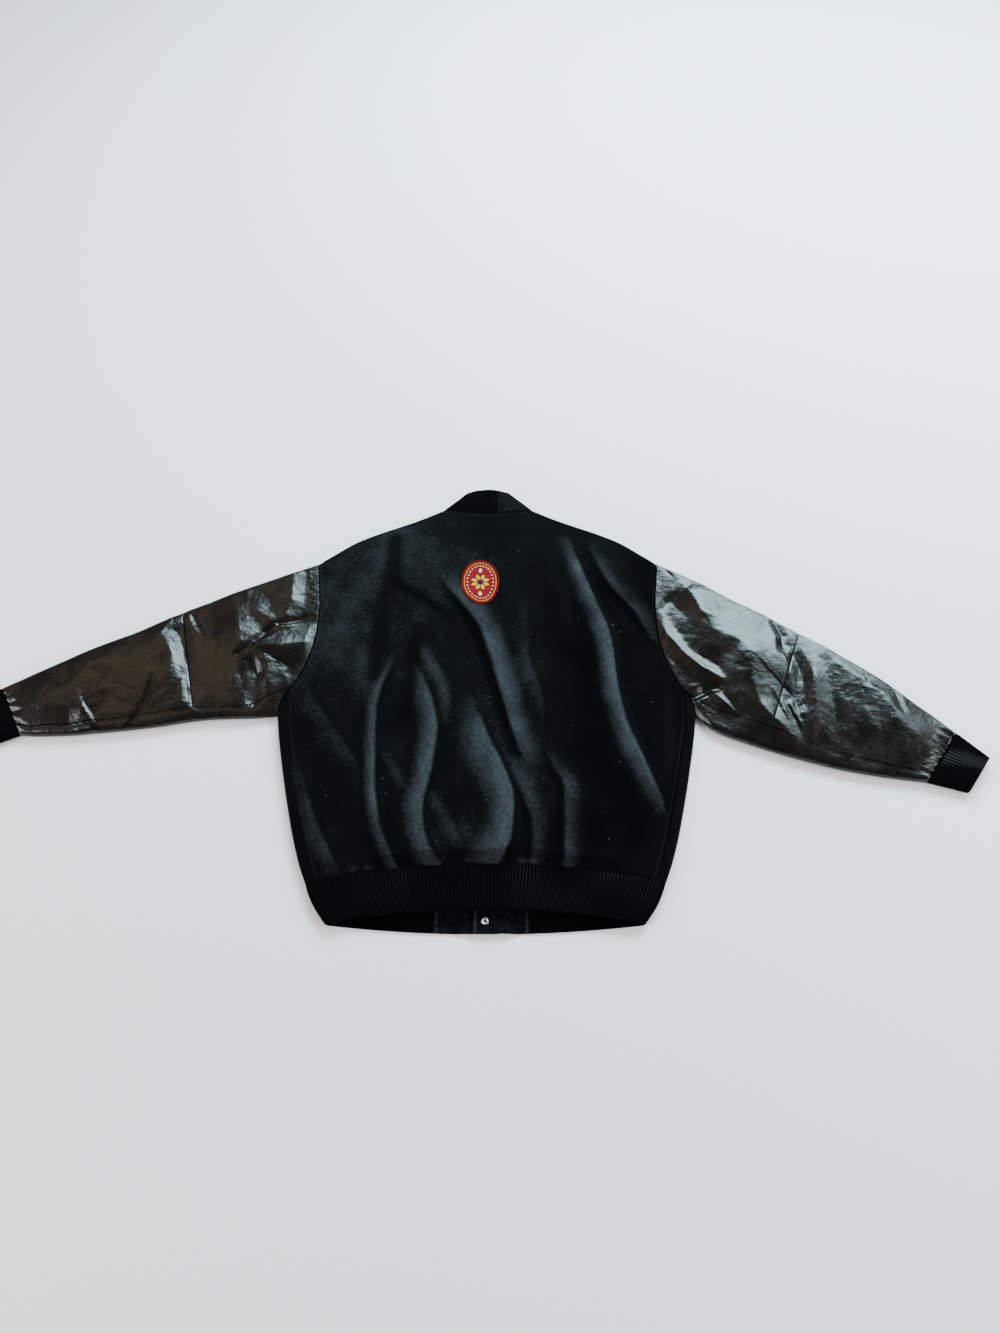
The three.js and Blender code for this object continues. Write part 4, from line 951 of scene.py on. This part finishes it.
sleeves = {}
for side, rows, word in ((-1, leftSleeve, "left"), (1, rightSleeve, "right")):
    made = makeSleeve(side, rows, word)
    for piece, node in zip(made, ("sleeve_upper", "sleeve_forearm", "sleeve_under")):
        dress(piece, leatherCloth, "leather", f"{node}_{word}")
    sleeves[word] = made
print("sleeves made")

# Rib knit
ribs = {"hem": 100, "cuff": 20, "collar": 27, "depth": 1.1}


def ribHeight(turns):
    # Rounded ribs with narrow furrows. One rib for each whole turn.
    return ribs["depth"] * (1 - (0.5 - 0.5 * np.cos(2 * np.pi * turns)) ** 3)


def makeCuff(side, rows, word):
    endUpperX, endUpperY, endLowerX, endLowerY = rows["cuffEnd"]
    startUpper = np.array([rows["upperX"][-1], rows["upperY"][-1]], float)
    startLower = np.array([rows["lowerX"][-1], rows["lowerY"][-1]], float)
    axis = np.array([startUpper[1] - startLower[1], startLower[0] - startUpper[0]])
    axis /= np.linalg.norm(axis)
    t = np.linspace(0, 1, 26)[:, None]
    upper = [mix(startUpper[k] + 0.3 * axis[k], (endUpperX, endUpperY)[k], t) for k in (0, 1)]
    lower = [mix(startLower[k] + 0.3 * axis[k], (endLowerX, endLowerY)[k], t) for k in (0, 1)]
    width = np.hypot(upper[0] - lower[0], upper[1] - lower[1])
    perRib = 9
    topTurns = np.linspace(0, 1, ribs["cuff"] * perRib + 1)[None, :]
    underTurns = np.linspace(1, 0, 40)[None, 1:-1]
    angle = np.pi * topTurns
    c = mix(topTurns, 0.5 - 0.5 * np.cos(angle), 0.35)
    cUnder = 0.5 - 0.5 * np.cos(np.pi * underTurns)
    radius = rows["radius"][-1]

    def face(share, isTop):
        distance = np.minimum(share, 1 - share) * width
        round_ = rounding(distance, radius)
        swell = 2.2 * np.sin(np.pi * share) * np.sin(np.pi * t) if isTop else 0
        px = mix(upper[0], lower[0], share)
        py = mix(upper[1], lower[1], share)
        pz = radius * (1 + round_ if isTop else 1 - round_) + swell
        return np.stack([side * px, py, pz], axis=2)

    top, under = face(c, True), face(cUnder, False)
    points = np.concatenate([top, under, top[:, :1]], axis=1)
    relief = np.zeros(points.shape[:2])
    endFade = smoothStep(t / 0.08)
    relief[:, : c.shape[1]] = ribHeight(topTurns * ribs["cuff"]) * endFade
    relief[:, : c.shape[1]] *= smoothStep(np.minimum(topTurns, 1 - topTurns) * 60)
    # painted highlight: lighter rib crests, with a lighter band across the middle of the cuff
    band = np.zeros(relief.shape)
    band[:, : c.shape[1]] = np.exp(-(((topTurns - 0.52 + 0.25 * t) / 0.15) ** 2))
    crest = np.clip(relief / ribs["depth"], 0, 1) * (0.38 + rows["cuffShine"] * band)
    piece = shell(f"{word} cuff", points, cloth["knit"], flip=side < 0, relief=relief, paintedLightAndTone=crest)
    return dress(piece, knitCloth, "knit", f"cuff_{word}")


cuffs = {"left": makeCuff(-1, leftSleeve, "left"), "right": makeCuff(1, rightSleeve, "right")}


def makeHem():
    rowsDown = np.linspace(1, 0, 22)[:, None]
    turn = np.radians(np.linspace(0, 90, 8))
    perRib = 8
    path = []
    for k in np.linspace(0, 1, 140, endpoint=False):
        path.append(("flat", -1, k))
    for a in turn[:-1]:
        path.append(("under", -1, a))
    for a in turn[::-1][:-1]:
        path.append(("top", -1, a))
    for k in np.linspace(-1, 1, ribs["hem"] * perRib + 1):
        path.append(("across", 0, k))
    for a in turn[1:]:
        path.append(("top", 1, a))
    for a in turn[::-1][1:-1]:
        path.append(("under", 1, a))
    for k in np.linspace(1, 0, 141):
        path.append(("flat", 1, k))
    t = rowsDown
    half = mix(hemHalf, cornerHalf, t) + 4 * np.sin(np.pi * t)
    columns, relief, inner = [], [], []
    for kind, side, value in path:
        if kind == "across":
            x = value * (half - 7)
            y = mix(backSeamY(x / half * hemHalf), backEdgeY(x / half * cornerHalf), t)
            z = 14 + 3 * t * (1 - value**2) + 1.2 * cloud(x, y, 45, 11)
            relief.append(ribHeight((value + 1) / 2 * ribs["hem"]))
            inner.append(0)
        else:
            if kind == "flat":
                x = mix(tabWidth[side] + gap / 2, half - fold, value)
                z = np.zeros_like(x)
                inner.append(ribHeight(value * 26) - 0.2)
            else:
                x = half - 7 * (1 - math.sin(value))
                z = np.full_like(x, 7 * (1 + math.cos(value) if kind == "top" else 1 - math.cos(value)))
                inner.append(0)
            isTop = kind == "top"
            share = x / half
            seamY = backSeamY(share * hemHalf) if isTop else frontSeamY(share * hemHalf)
            edgeY = backEdgeY(share * cornerHalf) if isTop else frontEdgeY(share * cornerHalf)
            y = mix(seamY, edgeY, t)
            x = side * x
            relief.append(0)
        columns.append(np.concatenate([x, y, z], axis=1))
    points = np.stack(columns, axis=1)
    fade = smoothStep((1 - t) / 0.05) * 0.4 + 0.6
    relief = np.array(relief)[None, :] * fade
    inner = np.array(inner)[None, :] * fade
    # painted highlight on the rib crests, varied at random and lighter towards the seam
    crest = np.clip((relief + inner) / ribs["depth"], 0, 1)
    crest = crest * (0.44 + 0.12 * cloud(points[:, :, 0], points[:, :, 1], 60, 23)) + 0.05 * (1 - t)
    piece = shell("hem band", points, cloth["knit"], relief=relief, inner=inner, paintedLightAndTone=crest)
    return dress(piece, knitCloth, "knit", "hem_rib")


hem = makeHem()


def makeCollar():
    t = np.linspace(0, 1, 24)[:, None]
    half = mix(neck[0] - 0.3, 40, t)
    perRib = 9
    front = np.concatenate([np.linspace(4, 64, 26), np.linspace(64, 78, 12)[1:]]) / neck[0]
    backTurns = np.linspace(-1, 1, ribs["collar"] * perRib + 1)[1:-1]
    path = [("front", -1, s) for s in front]
    path += [("back", 0, s) for s in backTurns]
    path += [("front", 1, s) for s in front[::-1]]
    columns, relief = [], []
    for kind, side, share in path:
        s = abs(share)
        round_ = rounding((1 - s) * half)
        if kind == "front":
            rimY = 368 + 73 * s**2.2
            y = mix(frontNeckY(s * neck[0]) + 0.3, rimY, t)
            z = 7 * (1 - round_) + lapHeight(side, np.full_like(half, s * neck[0]))
            x = side * s * half
            relief.append(0)
        else:
            rimY = mix(446, 441, s**2)
            y = mix(394 + 13 * s**2 + 0.3, rimY, t)
            full = 7 * (1 + round_) + 6 * (1 - s**2)
            seamZ = bodyTop(np.array(s * neck[0]), np.array(394 + 13 * s**2 - 0.1))
            z = mix(seamZ, full, smoothStep(2 * t)) + 0.8 * cloud(share * 80, t * 50, 22, 12) * t
            x = share * half
            relief.append(ribHeight((share + 1) / 2 * ribs["collar"]) * 0.9)
        columns.append(np.concatenate([x, y + 0 * x, z], axis=1))
    points = np.stack(columns, axis=1)
    fade = smoothStep(t / 0.06) * smoothStep((1 - t) / 0.04)
    relief = np.array(relief)[None, :] * (0.3 + 0.7 * fade)
    # the join of the band shows as a raised line a little right of the middle, with a painted highlight along
    # it
    x = points[:, :, 0]
    join = np.exp(-(((x - 20) / 1.4) ** 2)) * (points[:, :, 2] > 9)
    # painted highlight on the rib crests, dimmer on the left part of the band
    crest = np.clip(relief / ribs["depth"], 0, 1) * (0.22 + 0.5 * smoothStep((x - 2) / 30))
    crest = np.maximum(crest, 0.75 * join)
    piece = shell("rib collar", points, cloth["knit"], relief=relief + 0.8 * join, paintedLightAndTone=crest)
    return dress(piece, knitCloth, "knit", "collar")


collar = makeCollar()
print("knit made")


# Tabs
def makeTab(side, width, word):
    across = np.linspace(-18, width - 0.15, 40)[None, :]
    t = np.linspace(0, 1, 24)[:, None]
    y = mix(frontEdgeY(across), frontSeamY(across) - 0.15, t)
    z = lapHeight(side, across) - 0.5 * np.exp(-((across + 12) / 1.2) ** 2) + 0 * t
    points = np.stack([side * across + 0 * t, y, np.broadcast_to(z, y.shape)], axis=2)

    seams = np.exp(-(((across - width + 4) / 1.3) ** 2)) + np.exp(-(((across + 14) / 1.3) ** 2))
    paintedLightAndTone = 0.26 + 0.34 * seams + 0 * t
    piece = shell(f"{word} tab", points, cloth["wool"], flip=side > 0, level=[np.s_[:, :, 1]], paintedLightAndTone=paintedLightAndTone)
    return dress(piece, woolCloth, "wool", f"tab_{word}")


tabs = [makeTab(-1, 73, "left"), makeTab(1, 63, "right")]


# Snaps
def lathe(name, profile, at, sides=40):
    profile = np.array(profile, float)
    turns = np.linspace(0, 2 * np.pi, sides, endpoint=False)
    points = []
    for radius, height in profile:
        ring = np.stack([radius * np.cos(turns), radius * np.sin(turns), np.full(sides, height)], axis=1)
        points.append(ring + np.array(at))
    return addMesh(name, np.concatenate(points), ringFaces(len(profile), sides))


snapHeights = (-322, -235, -140, -45, 50, 145, 240)
for number, y in enumerate(snapHeights, 1):
    cap = lathe(
        f"snap cap {number}",
        [(0.1, 1.6), (7.2, 1.6), (7.5, 1.2), (7.4, 0.8), (6.6, 0.35), (4.5, 0.05), (0.1, 0)],
        (0, y, 0),
    )
    dress(cap, metal, "snap_metal", f"snap_cap_{number}")
    ring = lathe(
        f"snap ring {number}",
        [(1.9, 0.1), (1.9, 0.75), (2.5, 0.8), (3.0, 1.1), (3.6, 1.7),
         (4.3, 1.75), (5.1, 1.1), (5.5, 0.5), (5.5, 0)],
        (0, y, 7.45),
    )
    dress(ring, metal, "snap_metal", f"snap_ring_{number}")
print("tabs and snaps made")

# Patch
patch = {
    "x": -12, "y": 242, "halfWidth": 31, "halfHeight": 45,
    "red": (0.2, 0.0, 0.003), "gold": (0.62, 0.4, 0.02),
    "cream": (0.62, 0.56, 0.4), "navy": (0.006, 0.008, 0.05),
}


def onPatch(u, v, up):
    # A place on the patch: u and v from -1 to 1 across and up, and a height over the wool.
    x = patch["x"] + patch["halfWidth"] * u
    y = patch["y"] + patch["halfHeight"] * v
    return np.stack([x, y, bodyTop(x, y) + up], axis=-1)


def makePatchBase():
    v, u = np.meshgrid(np.linspace(-1, 1, 70), np.linspace(-1, 1, 50), indexing="ij")
    across = u * np.sqrt(1 - v * v / 2)
    up = v * np.sqrt(1 - u * u / 2)
    return shell("patch twill", onPatch(across, up, 1.4), 1.1)


def makeBorder():
    turns = np.linspace(0, 2 * np.pi, 420)
    path = onPatch(0.96 * np.cos(turns), 0.965 * np.sin(turns), 1.5)
    spots, direction = alongPath(path, 0.95)
    up = np.tile([0.0, 0.0, 1.0], (len(spots), 1))
    outward = np.cross(direction, up)
    slant = outward + 0.25 * direction
    template, faces = capsule(6)
    axes = np.stack([slant * 3.6, direction * 1.15, up * 1.5], axis=1)
    return smallPieces("patch border", template, faces, spots, axes)


def makeSatin(name, outlines, up, height=0.5):
    # Satin-stitched shapes: each outline is a closed loop of places on the patch.
    points, faces, uvs = [], [], []
    for loop in outlines:
        loop = np.asarray(loop)
        count = len(loop)
        middle = loop.mean(axis=0)
        start = sum(len(p) for p in points)
        rings = []
        for share, lift in ((1, 0), (0.92, 0.75), (0.6, 1), (0.2, 1)):
            ring = middle + (loop - middle) * share
            rings.append(onPatch(ring[:, 0], ring[:, 1], up + height * lift))
            uvs.append(ring * np.array([patch["halfWidth"], patch["halfHeight"]]) / 1000)
        points.extend(rings)
        faces += ringFaces(4, count, start)
        faces.append(tuple(start + 3 * count + k for k in range(count)))
    return addMesh(name, np.concatenate(points), faces, np.concatenate(uvs))


def petal(angle, inner, outer, width, squeeze=31 / 45):
    # A leaf shape that points out from the patch's middle.
    t = np.linspace(0, 2 * np.pi, 28, endpoint=False)
    r = mix(inner, outer, 0.5 - 0.5 * np.cos(t))
    side = width * np.sin(t) * (0.5 + 0.5 * np.sin((0.5 - 0.5 * np.cos(t)) * np.pi))
    u = r * math.cos(angle) - side * math.sin(angle)
    v = (r * math.sin(angle) + side * math.cos(angle)) * squeeze
    return np.stack([u, v], axis=1)


def disc(u, v, radius, squeeze=31 / 45, count=24):
    t = np.linspace(0, 2 * np.pi, count, endpoint=False)
    return np.stack([u + radius * np.cos(t), v + radius * squeeze * np.sin(t)], axis=1)


red = makeThread("red twill", patch["red"], 700)
gold = makeThread("gold thread", patch["gold"])
cream = makeThread("cream thread", patch["cream"])
navy = makeThread("navy thread", patch["navy"])
base = dress(makePatchBase(), red, "patch", "patch")
onTwill = [dress(makeBorder(), red, "patch")]
turns = np.linspace(0, 2 * np.pi, 260)
rim = onPatch(0.86 * np.cos(turns), 0.88 * np.sin(turns), 1.6)
onTwill.append(dress(stitchRow("patch rim", [rim], 1.2, 1.3, 1.3, 0.9), gold, "patch"))
petals = [petal(k * math.pi / 4 + math.pi / 8, 0.16, 0.52, 0.1) for k in range(8)]
onTwill.append(dress(makeSatin("patch petals", petals, 1.5), gold, "patch"))
onTwill.append(dress(makeSatin("patch middle", [disc(0, 0, 0.14)], 1.6), navy, "patch"))
turns = np.linspace(0, 2 * np.pi, 28, endpoint=False)
dots = [disc(0.7 * math.cos(a), 0.75 * math.sin(a), 0.045, count=14) for a in turns]
onTwill.append(dress(makeSatin("patch dots", dots, 1.5, 0.4), cream, "patch"))
leaves = [petal(a, 0.6, 0.92, 0.1) for a in (math.pi / 2, -math.pi / 2)]
onTwill.append(dress(makeSatin("patch leaves", leaves, 1.5), cream, "patch"))
print("patch made")

# Sewing
sewing = []


def bodyPath(x, y, up=0.1):
    return np.stack([x, y, bodyTop(x, y) + up], axis=1)


armY = np.linspace(46, 286, 160)
rows = [bodyPath(side * (armholeHalf(armY) - 7), armY) for side in (-1, 1)]
neckX = np.linspace(-74, 74, 100)
rows.append(bodyPath(neckX, 394 + 13 * (neckX / 78) ** 2 - 6))
sideY = np.linspace(-262, 30, 160)
for side in (-1, 1):
    rows.append(bodyPath(side * (sideHalf(np.minimum(sideY, 0)) - inset - 5), sideY))
sewing.append(stitchRow("body stitches", rows, width=0.6, height=0.5))


def sleevePath(side, rows, q, station, up=0.25):
    points = sleeveSurface(side, rows, q, [station])[:, 0]
    return points + np.array([0, 0, up])


def elbowPath(side, rows, q, up=-0.4):
    stations = flatStations("high", "seam", 0.02, 0.97, 90, True)
    points = sleeveSurface(side, rows, [q], stations)[0]
    return points + np.array([0, 0, up])


rows = []
for side, table in ((-1, leftSleeve), (1, rightSleeve)):
    for q in (3.93, 4.07):
        rows.append(elbowPath(side, table, q))
    last = len(table["upperX"]) - 1
    rows.append(sleevePath(side, table, np.linspace(0.1, last - 0.1, 200), ("high", 0.978, "seam", True)))
sewing.append(stitchRow("sleeve stitches", rows, pitch=3.8, length=3.0, width=0.7, height=0.7))
for piece in sewing:
    dress(piece, darkThread, "wool")

# Painted seam shadow: a matte black cord in the seams of the sleeves and round the armholes
rows = []
for side, table in ((-1, leftSleeve), (1, rightSleeve)):
    last = len(table["upperX"]) - 1
    rows.append(elbowPath(side, table, 4.0, -1.0))
    along = np.linspace(0.15, last - 0.1, 150)
    rows.append(sleevePath(side, table, along, ("high", 1.0, "seam", True), -0.1))
sleeveSeamShadow = shadowCord("sleeve seam shadow", rows, 2.0, 1.0)
armY = np.linspace(8, 284, 120)
rows = [bodyPath(side * (armholeHalf(armY) + 0.4), armY, 0.7) for side in (-1, 1)]
armholeSeamShadow = shadowCord("armhole seam shadow", rows, 2.4, 1.6)
for piece in (sleeveSeamShadow, armholeSeamShadow):
    dress(piece, seamShadowBlack, "leather")
print("sewing made")

# Lint
lint = {"count": 60, "colour": (0.3, 0.3, 0.31)}


def makeLint():
    rng = np.random.default_rng(7)
    x = rng.uniform(-270, 270, lint["count"])
    y = rng.uniform(-225, 360, lint["count"])
    edge = np.where(y > 0, armholeHalf(y), sideSeam(y))
    inside = (np.abs(x) < edge - 12) & (y < backTopY(x) - 12)
    x, y = x[inside], y[inside]
    places = np.stack([x, y, bodyTop(x, y) + 0.15], axis=1)
    angle = rng.uniform(0, np.pi, len(x))
    long = rng.uniform(0.5, 1.9, len(x))
    thin = rng.uniform(0.25, 0.5, len(x))
    zero = np.zeros(len(x))
    ahead = np.stack([np.cos(angle) * long, np.sin(angle) * long, zero], axis=1)
    across = np.stack([-np.sin(angle) * thin, np.cos(angle) * thin, zero], axis=1)
    up = np.stack([zero, zero, thin], axis=1)
    template, faces = capsule(5)
    return smallPieces("lint", template, faces, places, np.stack([ahead, across, up], axis=1))


dress(makeLint(), makePlain("lint", lint["colour"], 0.9), "wool")
print("lint made")

# Floor, light and camera
floor = bpy.data.objects.new("floor", bpy.data.meshes.new("floor"))
floor.data.from_pydata([(-6, -6, 0), (6, -6, 0), (6, 6, 0), (-6, 6, 0)], [], [(0, 1, 2, 3)])
bpy.context.scene.collection.objects.link(floor)
floor.data.materials.append(makePlain("floor", (0.93, 0.9, 0.89), 0.9, specular=0.1))

lights = {
    "window": {
        "at": (0.92, 2.0, 1.58), "aim": (0.45, 0.05, 0), "size": (2.3, 1.0),
        "power": 225, "colour": (0.64, 0.88, 0.97),
    },
    "door": {
        "at": (1.95, 1.0, 1.4), "aim": (0.45, 0.05, 0), "size": (0.65, 0.65),
        "power": 12, "colour": (0.7, 0.9, 1.0),
    },
    "wall": {
        "at": (-1.26, 0.97, 1.8), "aim": (-0.5, 0.05, 0), "size": (1.2, 0.9),
        "power": 5.4, "colour": (1.0, 0.71, 0.44),
    },
    "west": {
        "at": (-2.7, -0.9, 1.5), "aim": (0, 0, 0), "size": (2.0, 1.6),
        "power": 110, "colour": (0.95, 0.98, 1.0),
    },
    "east": {
        "at": (2.9, -0.9, 1.6), "aim": (0, 0, 0), "size": (2.0, 1.6),
        "power": 95, "colour": (1.0, 0.98, 0.95),
    },
}


def aimed(location, target):
    return (Vector(target) - Vector(location)).to_track_quat("-Z", "Y")


for name, look in lights.items():
    lamp = bpy.data.lights.new(name, "AREA")
    lamp.shape = "RECTANGLE"
    lamp.size, lamp.size_y = look["size"]
    lamp.energy = look["power"]
    lamp.color = look["colour"]
    holder = bpy.data.objects.new(name, lamp)
    holder.location = look["at"]
    holder.rotation_mode = "QUATERNION"
    holder.rotation_quaternion = aimed(look["at"], look["aim"])
    bpy.context.scene.collection.objects.link(holder)

world = bpy.data.worlds.new("room")
bpy.context.scene.world = world
world.use_nodes = True
world.node_tree.nodes["Background"].inputs["Color"].default_value = (1, 1, 1, 1)
world.node_tree.nodes["Background"].inputs["Strength"].default_value = 0.28

view = {"eye": (21, -714, 1401), "target": (21, 95, 0), "lens": 27.0}
camera = bpy.data.objects.new("camera", bpy.data.cameras.new("camera"))
camera.data.lens = view["lens"]
camera.data.sensor_width = 36
camera.data.clip_start = 0.05
eye = [(view["eye"][0] + originX) / 1000, (view["eye"][1] + originY) / 1000, view["eye"][2] / 1000]
target = [(view["target"][0] + originX) / 1000, (view["target"][1] + originY) / 1000, 0]
camera.location = eye
camera.rotation_mode = "QUATERNION"
camera.rotation_quaternion = aimed(eye, target)
bpy.context.scene.collection.objects.link(camera)
bpy.context.scene.camera = camera

print("scene done")
